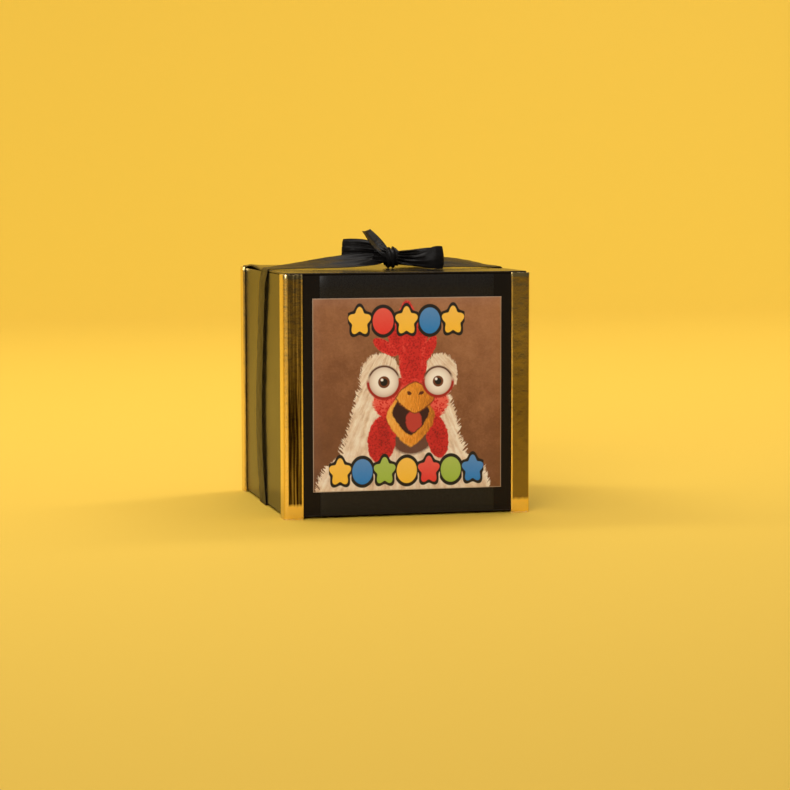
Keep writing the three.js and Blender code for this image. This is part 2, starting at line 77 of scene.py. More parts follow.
# ---- shader building ---------------------------------------------------------------------------
class Field:
    """A number that varies over a surface; arithmetic on it adds Math nodes to its material."""

    def __init__(self, shader: Shader, socket: bpy.types.NodeSocket) -> None:
        """Wraps a socket.

        Args:
            shader: The material that the socket's node is in.
            socket: The output that carries the number.
        """
        self.shader = shader
        self.socket = socket

    def math(self, operation: str, *others: Field | float, clamp: bool = False) -> Field:
        """Adds one Math node whose first value is this one.

        Args:
            operation: The Math node's operation.
            others: Its second and third values.
            clamp: Whether the result is kept from 0 to 1.

        Returns:
            The node's result.
        """
        return self.shader.math(operation, self, *others, clamp=clamp)

    def __add__(self, other: Field | float) -> Field:
        """Sum."""
        return self.math("ADD", other)

    __radd__ = __add__

    def __sub__(self, other: Field | float) -> Field:
        """Difference."""
        return self.math("SUBTRACT", other)

    def __rsub__(self, other: Field | float) -> Field:
        """Difference with this one taken away."""
        return self.shader.math("SUBTRACT", other, self)

    def __mul__(self, other: Field | float) -> Field:
        """Product."""
        return self.math("MULTIPLY", other)

    __rmul__ = __mul__

    def __truediv__(self, other: Field | float) -> Field:
        """Quotient."""
        return self.math("DIVIDE", other)

    def __pow__(self, other: Field | float) -> Field:
        """Power."""
        return self.math("POWER", other)

    def __abs__(self) -> Field:
        """Absolute value."""
        return self.math("ABSOLUTE")

    def above(self, limit: Field | float, soft: float) -> Field:
        """A mask that is 1 where this number is well above a limit.

        Args:
            limit: The limit, where the mask is one half.
            soft: How wide the edge is.

        Returns:
            The mask.
        """
        return (self - limit).math("MULTIPLY_ADD", 1 / soft, 0.5, clamp=True)

    def below(self, limit: Field | float, soft: float) -> Field:
        """A mask that is 1 where this number is well below a limit; see above."""
        return (limit - self).math("MULTIPLY_ADD", 1 / soft, 0.5, clamp=True)

    def most(self, other: Field | float) -> Field:
        """The greater of two."""
        return self.math("MAXIMUM", other)

    def least(self, other: Field | float) -> Field:
        """The smaller of two."""
        return self.math("MINIMUM", other)


class Shader:
    """A material in the making, with one Principled BSDF."""

    def __init__(self, name: str) -> None:
        """Starts an empty material.

        Args:
            name: The material's name.
        """
        self.material = bpy.data.materials.new(name)
        self.material.use_nodes = True
        self.tree = self.material.node_tree
        self.surface = self.tree.nodes["Principled BSDF"]
        self.coordinates = self.tree.nodes.new("ShaderNodeTexCoord")

    def node(self, kind: str, settings: dict | None = None, **inputs: object) -> bpy.types.Node:
        """Adds a node.

        Args:
            kind: The node's type.
            settings: Its own settings, set before its sockets.
            inputs: A value or a link for each named socket, with _ for a space.

        Returns:
            The new node.
        """
        made = self.tree.nodes.new(kind)
        for key, value in (settings or {}).items():
            if key == "stops":
                self._ramp(made, value)
            else:
                setattr(made, key, value)
        for key, value in inputs.items():
            self._feed(made.inputs[key.replace("_", " ")], value)
        return made

    def _ramp(self, made: bpy.types.Node, stops: Iterable[tuple[float, Colour]]) -> None:
        """Gives a ramp its stops.

        Args:
            made: The ramp's node.
            stops: Pairs of place and colour.
        """
        elements = made.color_ramp.elements
        stops = list(stops)
        while len(elements) < len(stops):
            elements.new(1.0)
        for element, (place, colour) in zip(elements, stops):
            element.position = place
            element.color = (*colour, 1.0)

    def _feed(self, socket: bpy.types.NodeSocket, value: object) -> None:
        """Links a field or socket to a socket, or sets its value.

        Args:
            socket: The socket to feed.
            value: What it gets.
        """
        if isinstance(value, Field):
            value = value.socket
        if isinstance(value, bpy.types.NodeSocket):
            self.tree.links.new(value, socket)
        elif isinstance(value, tuple) and len(value) == 3 and socket.type == "RGBA":
            socket.default_value = (*value, 1.0)
        else:
            socket.default_value = value

    def math(self, operation: str, *values: Field | float, clamp: bool = False) -> Field:
        """Adds a Math node.

        Args:
            operation: Its operation.
            values: Its values in order.
            clamp: Whether the result is kept from 0 to 1.

        Returns:
            Its result.
        """
        made = self.node("ShaderNodeMath", {"operation": operation, "use_clamp": clamp})
        for socket, value in zip(made.inputs, values):
            self._feed(socket, value)
        return Field(self, made.outputs[0])

    def place(self, uv: bool = False) -> tuple[Field, Field, Field]:
        """The surface point in millimetres, in the object's frame or along its own UV map.

        Args:
            uv: Whether to read the UV map.

        Returns:
            The three coordinates.
        """
        apart = self.node("ShaderNodeSeparateXYZ",
                          Vector=self.coordinates.outputs["UV" if uv else "Object"])
        return tuple(Field(self, o) * 1000.0 for o in apart.outputs)

    def point(self, x: Field | float, y: Field | float = 0.0, z: Field | float = 0.0):
        """A vector socket made of three numbers."""
        return self.node("ShaderNodeCombineXYZ", X=x, Y=y, Z=z).outputs[0]

    def noise(self, at: object, scale: float, detail: float = 3.0, rough: float = 0.55) -> Field:
        """Smooth noise from 0 to 1.

        Args:
            at: The vector it reads.
            scale: Its scale.
            detail: How many finer octaves it has.
            rough: How strong they are.

        Returns:
            The noise.
        """
        made = self.node("ShaderNodeTexNoise", Vector=at, Scale=scale, Detail=detail, Roughness=rough)
        return Field(self, made.outputs[0])

    def cells(self, at: object, scale: float) -> Field:
        """Distance to the nearest of scattered points."""
        made = self.node("ShaderNodeTexVoronoi", Vector=at, Scale=scale)
        return Field(self, made.outputs["Distance"])

    def mix(self, share: Field | float, low: object, high: object):
        """One colour turning into another.

        Args:
            share: 0 for the first colour and 1 for the second.
            low: The first colour or socket.
            high: The second colour or socket.

        Returns:
            The colour's socket.
        """
        made = self.tree.nodes.new("ShaderNodeMix")
        made.data_type = "RGBA"
        self._feed(made.inputs[0], share)
        self._feed(made.inputs[6], low)
        self._feed(made.inputs[7], high)
        return made.outputs[2]

    def ramp(self, at: Field, stops: Iterable[tuple[float, Colour]], steps: bool = False):
        """A colour ramp.

        Args:
            at: Where on the ramp.
            stops: Its places and colours.
            steps: Whether the colours change in steps.

        Returns:
            The colour's socket.
        """
        made = self.node("ShaderNodeValToRGB", {"stops": stops}, Fac=at)
        if steps:
            made.color_ramp.interpolation = "CONSTANT"
        return made.outputs[0]

    def set(self, **inputs: object) -> None:
        """Gives the Principled BSDF's sockets their values or links."""
        for key, value in inputs.items():
            self._feed(self.surface.inputs[key.replace("_", " ")], value)

    def relief(self, height: Field, depth_mm: float, strength: float = 1.0) -> None:
        """Lets a height bend the surface's normal.

        Args:
            height: The height, about 0 to 1.
            depth_mm: How deep a height of 1 is.
            strength: The Bump node's strength.
        """
        made = self.node("ShaderNodeBump", Height=height, Distance=depth_mm * MM, Strength=strength)
        self._feed(self.surface.inputs["Normal"], made.outputs[0])


# ---- finishes ----------------------------------------------------------------------------------
@dataclass(frozen=True)
class BlackLaminate:
    """Glossy black paper over board: faint fibre, smudges, and rubbed edges."""

    name: str = "black_laminate"
    ink: Colour = (0.0085, 0.0072, 0.0062)
    rubbed: Colour = (0.075, 0.062, 0.05)
    gloss: float = 0.17
    half: float = 81.0
    foot: float = 1.6
    top: float = 160.5

    def build(self) -> bpy.types.Material:
        """Makes the material."""
        s = Shader(self.name)
        x, y, z = s.place()
        at = s.point(x, y, z)
        fibre = s.noise(at, 1.6, 4.0, 0.7)
        smudge = s.noise(at, 0.028, 3.0, 0.6)
        scuffs = s.noise(at, 0.35, 5.0, 0.75)
        edge_x, edge_y = abs(x).above(self.half - 0.55, 0.5), abs(y).above(self.half - 0.55, 0.5)
        edge_z = z.above(self.top - 0.35, 0.3).most(z.below(self.foot + 0.5, 0.5))
        corner = (edge_x * edge_y).most(edge_x * edge_z).most(edge_y * edge_z)
        worn = corner * scuffs.above(0.52, 0.2)
        base = s.mix(fibre * 0.5 + smudge * 0.3, self.ink, tuple(1.7 * c for c in self.ink))
        s.set(Base_Color=s.mix(worn * 0.8, base, self.rubbed),
              Roughness=self.gloss + smudge * 0.09 + worn * 0.35, IOR=1.2)
        s.set(Specular_Tint=(1.0, 0.80, 0.55, 1.0))
        s.relief(fibre * 0.35 + scuffs * 0.25, 0.02, 0.5)
        return s.material


@dataclass(frozen=True)
class LabelFilm:
    """Thin black film that the picture lies on, a little duller than the board round it."""

    name: str = "black_film"
    ink: Colour = (0.011, 0.010, 0.0095)
    gloss: float = 0.24

    def build(self) -> bpy.types.Material:
        """Makes the material."""
        s = Shader(self.name)
        x, y, z = s.place()
        at = s.point(x, y, z)
        waves = s.noise(s.point(x * 0.4, y, z * 0.06), 0.22, 2.0, 0.5)
        grain = s.noise(at, 2.4, 3.0, 0.7)
        s.set(Base_Color=s.mix(grain, self.ink, tuple(1.6 * c for c in self.ink)),
              Roughness=self.gloss + grain * 0.07, IOR=1.30)
        s.relief(waves + grain * 0.05, 0.12, 0.5)
        return s.material


@dataclass(frozen=True)
class GoldFoil:
    """Mirror gold foil over a card angle: drawn lengthways, dented, rubbed at its edges, with painted dark
    reflections on its front faces.
    """

    name: str = "gold_foil"
    gold: Colour = (1.0, 0.74, 0.27)
    # The colour of the painted dark reflection on the front faces; the darker streaks on the other faces use
    # it too.
    deep: Colour = (0.030, 0.017, 0.004)
    card: Colour = (0.62, 0.55, 0.42)
    gloss: float = 0.13
    # Places in millimetres for the painted reflection: the front faces, the inner and outer edges of the
    # front legs, and the height of the bright foot.
    front: float = 82.6
    inner: float = 71.0
    outer: float = 83.0
    foot: float = 11.0

    def build(self) -> bpy.types.Material:
        """Makes the material."""
        s = Shader(self.name)
        x, y, z = s.place()
        drawn = s.noise(s.point(x * 0.9, y * 0.9, z * 0.012), 0.55, 3.0, 0.6)
        fine = s.noise(s.point(x, y, z * 0.02), 2.2, 2.0, 0.5)
        dents = s.noise(s.point(x, y, z), 0.16, 3.0, 0.55)
        specks = s.noise(s.point(x, y, z), 1.9, 4.0, 0.7)
        # The front faces are darkened towards the deep colour as a painted dark reflection. The corner, the
        # inner edge and the foot keep the full gold as a painted highlight.
        ahead = y.below(-self.front + 0.35, 0.3)
        left = x.below(0.0, 2.0)
        painted_reflection_streak = (drawn * 0.75 + fine * 0.3).above(0.47, 0.14)
        body = abs(x).above(self.inner + 0.2, 0.2) * abs(x).below(self.outer - 0.8 - left * 2.2, 0.6)
        foot = (z + drawn * 3.0).above(self.foot, 2.0)
        # Darker streaks along the drawn grain on the side and back faces.
        dull = (1.0 - ahead) * drawn.above(0.45, 0.25) * 0.22
        # How dark the painted reflection is: streaked on the left trims, lighter towards the top.
        tone = painted_reflection_streak * left * 0.36 + 0.76 - left * 0.12 - z.above(95.0, 50.0) * 0.18
        shade = dull + ahead * body * foot * tone
        ends = z.below(0.9, 0.5).most(z.above(159.3, 0.4)) * specks.above(0.55, 0.1)
        foil = s.mix(shade, self.gold, self.deep)
        s.set(Base_Color=s.mix(ends * 0.7, foil, self.card), Metallic=1.0 - ends * 0.85,
              Roughness=self.gloss + fine * 0.08 + specks * 0.06)
        s.relief(drawn * 0.8 + dents * 1.1 + specks * 0.05, 0.35, 0.55)
        return s.material


@dataclass(frozen=True)
class SatinRibbon:
    """Black satin: long floats across the ribbon, a fine diagonal twill, and woven edges."""

    name: str = "satin_ribbon"
    warp: Colour = (0.0050, 0.0043, 0.0038)
    weft: Colour = (0.020, 0.018, 0.017)
    half_width: float = 11.0

    def build(self) -> bpy.types.Material:
        """Makes the material; the ribbon's UV map is in metres, along and across it."""
        s = Shader(self.name)
        along, across, _ = s.place(uv=True)
        twill = ((along + across * 0.8) * (2 * math.pi / 1.15)).math("SINE") * 0.5 + 0.5
        threads = s.noise(s.point(along * 0.35, across * 2.6), 1.4, 3.0, 0.7)
        slubs = s.noise(s.point(along * 1.1, across * 1.1), 1.0, 4.0, 0.7)
        folds = s.noise(s.point(along * 0.25, across * 0.12), 0.6, 2.0, 0.5)
        edge = abs(across).above(self.half_width - 0.7, 0.3)
        weave = twill * 0.45 + threads * 0.35 + slubs * 0.35
        s.set(Base_Color=s.mix(weave.above(0.60, 0.3), self.warp, self.weft),
              Roughness=0.24 + slubs * 0.14 + edge * 0.18, IOR=1.18)
        s.set(Anisotropic=0.4)
        s.relief(weave * 0.9 + folds * 1.2 + edge * 0.6, 0.16, 0.8)
        return s.material


@dataclass(frozen=True)
class BookCloth:
    """Black cloth of the hinge, plain woven."""

    name: str = "hinge_cloth"
    thread: Colour = (0.014, 0.013, 0.013)
    pitch: float = 0.55

    def build(self) -> bpy.types.Material:
        """Makes the material."""
        s = Shader(self.name)
        x, y, z = s.place()
        turn = 2 * math.pi / self.pitch
        warp, weft = (x * turn).math("SINE"), ((z + y) * turn).math("SINE")
        weave = (warp * weft) * 0.5 + 0.5
        slubs = s.noise(s.point(x * 0.3, y, z), 1.3, 3.0, 0.7)
        s.set(Base_Color=s.mix(weave * 0.6 + slubs * 0.4, self.thread, tuple(2.6 * c for c in self.thread)),
              Roughness=0.72 + slubs * 0.12)
        s.set(Sheen_Weight=0.2)
        s.relief(weave + slubs * 0.6, 0.12, 0.8)
        return s.material


@dataclass(frozen=True)
class GreyBoard:
    """Uncoated chipboard with flecks of the pulp it was made from."""

    name: str = "grey_board"
    light: Colour = (0.34, 0.30, 0.25)
    dark: Colour = (0.17, 0.15, 0.125)

    def build(self) -> bpy.types.Material:
        """Makes the material."""
        s = Shader(self.name)
        x, y, z = s.place()
        at = s.point(x, y, z)
        pulp, flecks = s.noise(at, 0.5, 5.0, 0.7), s.noise(s.point(x, y * 3.0, z), 1.5, 2.0, 0.6)
        shade = s.mix(pulp.above(0.5, 0.5), self.dark, self.light)
        s.set(Base_Color=s.mix(flecks.above(0.68, 0.06) * 0.7, shade, (0.06, 0.055, 0.05)),
              Roughness=0.85 + pulp * 0.1)
        s.relief(pulp + flecks * 0.5, 0.12, 0.7)
        return s.material


@dataclass(frozen=True)
class BareMetal:
    """Wire, plate or nickel: fine draw marks, dull patches and a few stains."""

    name: str
    metal: Colour
    gloss: float
    stain: Colour = (0.20, 0.15, 0.10)

    def build(self) -> bpy.types.Material:
        """Makes the material."""
        s = Shader(self.name)
        x, y, z = s.place()
        at = s.point(x, y, z)
        marks, patches = s.noise(s.point(x, y, z * 5.0), 1.1, 3.0, 0.7), s.noise(at, 0.22, 4.0, 0.65)
        s.set(Base_Color=s.mix(patches.above(0.66, 0.2) * 0.4, self.metal, self.stain), Metallic=1.0,
              Roughness=self.gloss + marks * 0.14 + patches * 0.08)
        s.relief(marks, 0.02, 0.5)
        return s.material


@dataclass(frozen=True)
class MouldedPlastic:
    """Matt moulded plastic with a spark-eroded grain."""

    name: str
    colour: Colour
    gloss: float = 0.42

    def build(self) -> bpy.types.Material:
        """Makes the material."""
        s = Shader(self.name)
        x, y, z = s.place()
        at = s.point(x, y, z)
        grain, flow = s.noise(at, 1.8, 3.0, 0.6), s.noise(at, 0.06, 2.0, 0.5)
        s.set(Base_Color=s.mix(flow * 0.6 + grain * 0.2, self.colour, tuple(0.82 * c for c in self.colour)),
              Roughness=self.gloss + grain * 0.14, IOR=1.49)
        s.relief(grain, 0.05, 0.5)
        return s.material


@dataclass(frozen=True)
class Rubber:
    """Soft moulded rubber, sprayed in one colour, worn lighter in patches, with painted shade in the pits of
    its pebbled skin.
    """

    name: str
    colour: Colour
    # The colour of the painted shade in the pits.
    hollow: Colour
    pebble: float = 0.9
    depth: float = 0.12
    gloss: float = 0.4
    wear: float = 0.25

    def build(self) -> bpy.types.Material:
        """Makes the material."""
        s = Shader(self.name)
        x, y, z = s.place()
        at = s.point(x, y, z)
        skin, broad = s.cells(at, self.pebble), s.noise(at, 0.11, 4.0, 0.6)
        fine = s.noise(at, 2.2, 3.0, 0.6)
        # The pits of the pebbled skin take the darker colour: painted shade.
        tone = s.mix(skin.below(0.42, 0.5) * 0.6, self.colour, self.hollow)
        worn = tuple(0.6 * c + 0.1 for c in self.colour)
        s.set(Base_Color=s.mix(broad.above(0.60, 0.3) * self.wear, tone, worn),
              Roughness=self.gloss + fine * 0.12 + broad * 0.1, IOR=1.5)
        s.set(Subsurface_Weight=0.06)
        s.relief(skin * 0.8 + fine * 0.3, self.depth, 0.7)
        return s.material


@dataclass(frozen=True)
class PaintedEye:
    """A white eyeball with a painted iris and pupil, painted shade towards its rim, and a gloss coat."""

    name: str
    centre: tuple[float, float]
    white: Colour = (0.80, 0.77, 0.68)
    iris: Colour = (0.62, 0.26, 0.03)
    iris_radius: float = 3.4
    pupil_radius: float = 2.1

    def build(self) -> bpy.types.Material:
        """Makes the material; the iris looks forward from its centre in x and z."""
        s = Shader(self.name)
        x, y, z = s.place()
        across, up = x - self.centre[0], z - self.centre[1]
        away = (across * across + up * up).math("SQRT")
        spokes = s.noise(s.point(across.math("ARCTAN2", up) * 4.0, away * 0.2), 1.4, 3.0, 0.6)
        fine = s.noise(s.point(x, y, z), 1.4, 3.0, 0.6)
        # The white varies at random and darkens towards the rim: painted shade.
        ball = s.mix(fine * 0.3 + away.above(4.2, 4.0) * 0.25, self.white, (0.62, 0.45, 0.34))
        ring = s.mix(spokes, self.iris, tuple(0.35 * c for c in self.iris))
        eye = s.mix(away.below(self.iris_radius, 0.25), ball, ring)
        s.set(Base_Color=s.mix(away.below(self.pupil_radius, 0.2), eye, (0.004, 0.004, 0.004)),
              Roughness=0.16 + fine * 0.08)
        s.set(Coat_Weight=0.6, Coat_Roughness=0.08)
        s.relief(fine, 0.02, 0.3)
        return s.material


@dataclass(frozen=True)
class PrintedPicture:
    """The picture on the front: a rooster's head on brown, between two rows of coloured shapes."""

    name: str = "printed_picture"
    centre_z: float = 80.7
    half_width: float = 63.5
    half_height: float = 63.25

    def build(self) -> bpy.types.Material:
        """Makes the material, layer by layer from the back to the front."""
        s = Shader(self.name)
        x, _, z = s.place()
        flat_u, flat_v = x, z - self.centre_z
        at = s.point(flat_u, flat_v)
        wobble, rough = s.noise(at, 0.22, 3.0, 0.6), s.noise(at, 0.9, 4.0, 0.7)
        u, v = flat_u + (wobble - 0.5) * 3.0, flat_v + (rough - 0.5) * 1.6
        picture = self._ground(s, flat_u, flat_v)
        picture = self._hackle(s, u, v, picture)
        picture = self._face(s, u, v, picture)
        picture = self._beak(s, u, v, picture)
        for cu, cv, radius in ((-16.0, 8.0, 9.8), (20.5, 8.0, 9.0)):
            picture = self._eye(s, flat_u - cu, flat_v - cv, radius, picture)
        picture = self._shapes(s, flat_u, flat_v - 48.0, (-40.0, 38.5), 5, 7.3, picture)
        picture = self._shapes(s, flat_u, flat_v + 50.5, (-53.0, 51.5), 7, 7.1, picture)
        rim = abs(flat_u).above(self.half_width - 0.55, 0.3).most(
            abs(flat_v).above(self.half_height - 0.55, 0.3))
        grain = s.noise(at, 3.0, 3.0, 0.7)
        s.set(Base_Color=s.mix(rim * 0.7, picture, (0.42, 0.33, 0.25)),
              Roughness=0.42 + grain * 0.1 + rim * 0.2, IOR=1.45)
        s.relief(grain, 0.02, 0.4)
        return s.material

    @staticmethod
    def _oval(u: Field, v: Field, centre: tuple[float, float], radii: tuple[float, float],
              turn: float = 0.0) -> Field:
        """How far out a point is in an oval: 0 in the middle and 1 on the rim.

        Args:
            u: Place across the picture.
            v: Place up the picture.
            centre: The oval's centre.
            radii: Its two radii.
            turn: Its turn in degrees.

        Returns:
            The measure.
        """
        a, b = u - centre[0], v - centre[1]
        c, n = math.cos(math.radians(turn)), math.sin(math.radians(turn))
        across, up = (a * c + b * n) * (1 / radii[0]), (b * c - a * n) * (1 / radii[1])
        return (across * across + up * up).math("SQRT")

    def _ground(self, s: Shader, u: Field, v: Field):
        """Mottled brown, lighter towards the top.

        Args:
            s: The shader.
            u: Place across the picture.
            v: Place up the picture.

        Returns:
            The picture so far.
        """
        mottle = s.noise(s.point(u, v), 0.055, 5.0, 0.7)
        fibre = s.noise(s.point(u, v), 0.6, 4.0, 0.75)
        light = mottle * 0.55 + fibre * 0.3 + v * 0.0030 + u * 0.0010 + 0.03
        return s.ramp(light, [(0.0, (0.085, 0.028, 0.010)), (0.42, (0.21, 0.082, 0.034)),
                              (0.72, (0.38, 0.175, 0.085)), (1.0, (0.52, 0.28, 0.16))])

    def _hackle(self, s: Shader, u: Field, v: Field, under):
        """Cream neck feathers that flare below the cheeks, and tufts over the eyes.

        Args:
            s: The shader.
            u: Place across the picture.
            v: Place up the picture.
            under: What is painted so far.

        Returns:
            The picture so far.
        """
        across, down = u + 3.0, 52.0 - v
        turn = across.math("ARCTAN2", down)
        reach = (across * across + down * down).math("SQRT")
        strands = s.noise(s.point(turn * 34.0, reach * 0.05), 1.0, 4.0, 0.6)
        tufts = s.noise(s.point(turn * 9.0, reach * 0.13), 1.0, 3.0, 0.6)
        wisps = s.noise(s.point(abs(across) - v * 0.9, v * 0.22), 0.62, 3.0, 0.6)
        width = 31.0 - v * 0.30 + v.below(-44.0, 8.0) * 9.0 + (wisps - 0.5) * 15.0 + (tufts - 0.5) * 7.0
        mask = abs(across).below(width, 1.2) * v.below(16.0 + (wisps - 0.5) * 12.0, 2.0)
        for cu, cv, ru, rv, turned in ((-18.5, 13.0, 13.0, 14.0, -12.0), (22.5, 13.5, 11.0, 13.0, 14.0)):
            tip = s.noise(s.point((u - cu) * 1.0, (v - cv) * 0.25), 0.75, 3.0, 0.6)
            brow = self._oval(u, v, (cu, cv), (ru, rv), turned) + (tip - 0.5) * 0.55
            mask = mask.most(brow.below(1.0, 0.07))
        shade = strands * 0.75 + tufts * 0.45 - 0.02
        feathers = s.ramp(shade, [(0.25, (0.22, 0.11, 0.07)), (0.38, (0.55, 0.39, 0.28)),
                                  (0.52, (0.76, 0.60, 0.47)), (0.70, (0.90, 0.82, 0.72))])
        return s.mix(mask, under, feathers)

    def _face(self, s: Shader, u: Field, v: Field, under):
        """Red skin: comb, cheeks and wattles.

        Args:
            s: The shader.
            u: Place across the picture.
            v: Place up the picture.
            under: What is painted so far.

        Returns:
            The picture so far.
        """
        pores = s.cells(s.point(u, v), 0.75)
        points = self._oval(u, v, (3.5, 22.0), (9.5, 19.0))
        for cu, cv, ru, rv, turn in ((-15.0, 31.0, 4.0, 9.5, 58.0), (-8.0, 37.0, 5.2, 13.0, 22.0),
                                     (0.0, 44.0, 6.0, 17.5, 2.0), (8.5, 39.0, 5.4, 14.0, -8.0),
                                     (14.0, 29.0, 3.6, 10.0, -28.0)):
            points = points.least(self._oval(u, v, (cu, cv), (ru, rv), turn))
        comb = points.below(1.0, 0.08)
        fringe = s.noise(s.point(u * 0.6, v), 0.8, 3.0, 0.6) - 0.5
        cheeks = (self._oval(u, v, (2.0, -5.0), (25.5, 16.0)) + fringe * 0.22).below(1.0, 0.06)
        wattles = self._oval(u, v, (-17.5, -29.5), (9.4, 16.0), -8.0).least(
            self._oval(u, v, (20.0, -28.5), (7.4, 14.5), 9.0))
        throat = self._oval(u, v, (2.5, -27.0), (15.0, 13.0)).below(1.0, 0.15)
        under = s.mix(throat * 0.95, under, (0.10, 0.022, 0.010))
        skin = comb.most(cheeks).most(wattles.below(1.0, 0.07))
        light = pores.above(0.30, 0.6) * 0.55 + 0.25
        light = (light - wattles.below(1.0, 0.2) * 0.14 + s.noise(s.point(u, v), 0.12, 3.0, 0.6) * 0.55
                 + points.least(wattles) * 0.22 - 0.42)
        red = s.ramp(light, [(0.0, (0.12, 0.004, 0.004)), (0.45, (0.44, 0.009, 0.010)),
                             (0.8, (0.66, 0.022, 0.022)), (1.0, (0.80, 0.12, 0.09))])
        return s.mix(skin, under, red)

    def _beak(self, s: Shader, u: Field, v: Field, under):
        """An orange beak, a little open, with the tongue between its halves.

        Args:
            s: The shader.
            u: Place across the picture.
            v: Place up the picture.
            under: What is painted so far.

        Returns:
            The picture so far.
        """
        def diamond(cu: float, cv: float, ru: float, rv: float) -> Field:
            """How far out a point is in a diamond with soft sides."""
            return (abs(u - cu) * (1 / ru)) ** 1.35 + (abs(v - cv) * (1 / rv)) ** 1.35

        streaks = s.noise(s.point(u * 2.2, v * 0.35), 0.7, 4.0, 0.6)
        horn = s.ramp(streaks * 0.8 + (u * -0.012) + 0.12,
                      [(0.2, (0.33, 0.09, 0.006)), (0.5, (0.80, 0.30, 0.025)), (0.85, (0.95, 0.58, 0.14))])
        lower, mouth = diamond(2.0, -15.0, 16.5, 20.0), diamond(2.0, -12.0, 12.6, 15.4)
        upper, tongue = diamond(5.0, -2.5, 12.5, 10.0), self._oval(u, v, (4.0, -18.0), (5.4, 7.4))
        picture = s.mix(lower.below(1.0, 0.08), under, horn)
        picture = s.mix(mouth.below(1.0, 0.08), picture, (0.035, 0.006, 0.006))
        picture = s.mix(tongue.below(1.0, 0.15) * mouth.below(0.93, 0.08), picture, (0.50, 0.045, 0.035))
        rim = upper.below(1.12, 0.06)
        picture = s.mix(rim * 0.8, picture, (0.20, 0.045, 0.006))
        picture = s.mix(upper.below(1.0, 0.08), picture, horn)
        nostrils = self._oval(abs(u - 5.0), v + 1.5, (4.2, 2.0), (1.7, 1.0), 35.0)
        return s.mix(nostrils.below(1.0, 0.3), picture, (0.10, 0.02, 0.005))

    def _eye(self, s: Shader, u: Field, v: Field, radius: float, under):
        """A round eye.

        Args:
            s: The shader.
            u: Place across from the eye's centre.
            v: Place up from it.
            radius: The eyeball's radius.
            under: What is painted so far.

        Returns:
            The picture with the eye.
        """
        away = (u * u + v * v).math("SQRT")
        shade = ((away * (1 / radius)) ** 3) * 0.7 + (v * -0.012)
        ball = s.mix(shade, (0.96, 0.92, 0.88), (0.50, 0.34, 0.27))
        picture = s.mix(away.below(radius + 1.9, 0.9) * v.below(1.0, 3.0), under, (0.36, 0.014, 0.010))
        picture = s.mix(away.below(radius + 1.3, 0.9) * v.above(3.0, 4.0), picture, (0.10, 0.035, 0.022))
        picture = s.mix(away.below(radius, 0.5), picture, ball)
        picture = s.mix(away.below(radius * 0.40, 0.4), picture, (0.16, 0.045, 0.016))
        picture = s.mix(away.below(radius * 0.25, 0.4), picture, (0.004, 0.003, 0.003))
        glint = ((u + 1.3) * (u + 1.3) + (v - 1.5) * (v - 1.5)).math("SQRT")
        return s.mix(glint.below(0.9, 0.4), picture, (0.95, 0.95, 0.95))

    def _shapes(self, s: Shader, u: Field, v: Field, span: tuple[float, float], count: int,
                radius: float, under):
        """A row of stars and balls by turns, each with a thick dark outline.

        Args:
            s: The shader.
            u: Place across the picture.
            v: Place up from the row's middle line.
            span: Where the row starts and ends.
            count: How many shapes it has.
            radius: A shape's radius.
            under: What is painted so far.

        Returns:
            The picture with the row.
        """
        pitch = (span[1] - span[0]) / count
        along = (u - span[0]) * (1 / pitch)
        cell = along.math("FLOOR")
        a = (along - cell - 0.5) * pitch
        odd = (cell * 0.5).math("FRACT") * 2.0
        v = v * 0.82
        turn = a.math("ARCTAN2", v)
        points = (turn * 5.0).math("COSINE") * (1.0 - odd)
        edge = (a * a + v * v).math("SQRT") - radius * (0.90 + odd * 0.06) - points * (radius * 0.17)
        inside = along.above(0.0, 0.01) * along.below(float(count), 0.01)
        shine = (v * 0.05 + 0.35 + s.noise(s.point(u, v), 0.5, 2.0, 0.5) * 0.2)
        inks = [(0.95, 0.54, 0.03), (0.78, 0.025, 0.02), (0.95, 0.54, 0.03), (0.0, 0.20, 0.62),
                (0.95, 0.54, 0.03), (0.78, 0.025, 0.02), (0.34, 0.50, 0.05)]
        if count == 7:
            inks = [inks[0], inks[3], inks[6], inks[0], inks[1], inks[6], inks[3]]
        fill = s.ramp(along * (1 / count), [(i / count, c) for i, c in enumerate(inks[:count])], steps=True)
        picture = s.mix(edge.below(1.9, 0.35) * inside, under, (0.008, 0.006, 0.006))
        lit = s.mix(shine * 0.12, fill, (1.0, 0.93, 0.75))
        return s.mix(edge.below(0.0, 0.35) * inside, picture, lit)


# ---- bench tools -------------------------------------------------------------------------------
def deselect() -> None:
    """Leaves object mode with nothing selected."""
    if bpy.context.object and bpy.context.object.mode != "OBJECT":
        bpy.ops.object.mode_set(mode="OBJECT")
    bpy.ops.object.select_all(action="DESELECT")


def pick(*pieces: bpy.types.Object) -> None:
    """Selects these pieces alone, the last of them active."""
    deselect()
    for piece in pieces:
        piece.select_set(True)
    bpy.context.view_layer.objects.active = pieces[-1]


def primitive(kind: str, name: str, **settings: object) -> bpy.types.Object:
    """Adds a mesh primitive and names it.

    Args:
        kind: The primitive, such as "cube".
        name: The piece's name.
        settings: What the operator takes.

    Returns:
        The new piece.
    """
    deselect()
    getattr(bpy.ops.mesh, f"primitive_{kind}_add")(**settings)
    piece = bpy.context.object
    piece.name = piece.data.name = name
    return piece


def settle(piece: bpy.types.Object) -> None:
    """Puts the piece's place, turn and size into its mesh."""
    pick(piece)
    bpy.ops.object.transform_apply(location=True, rotation=True, scale=True)


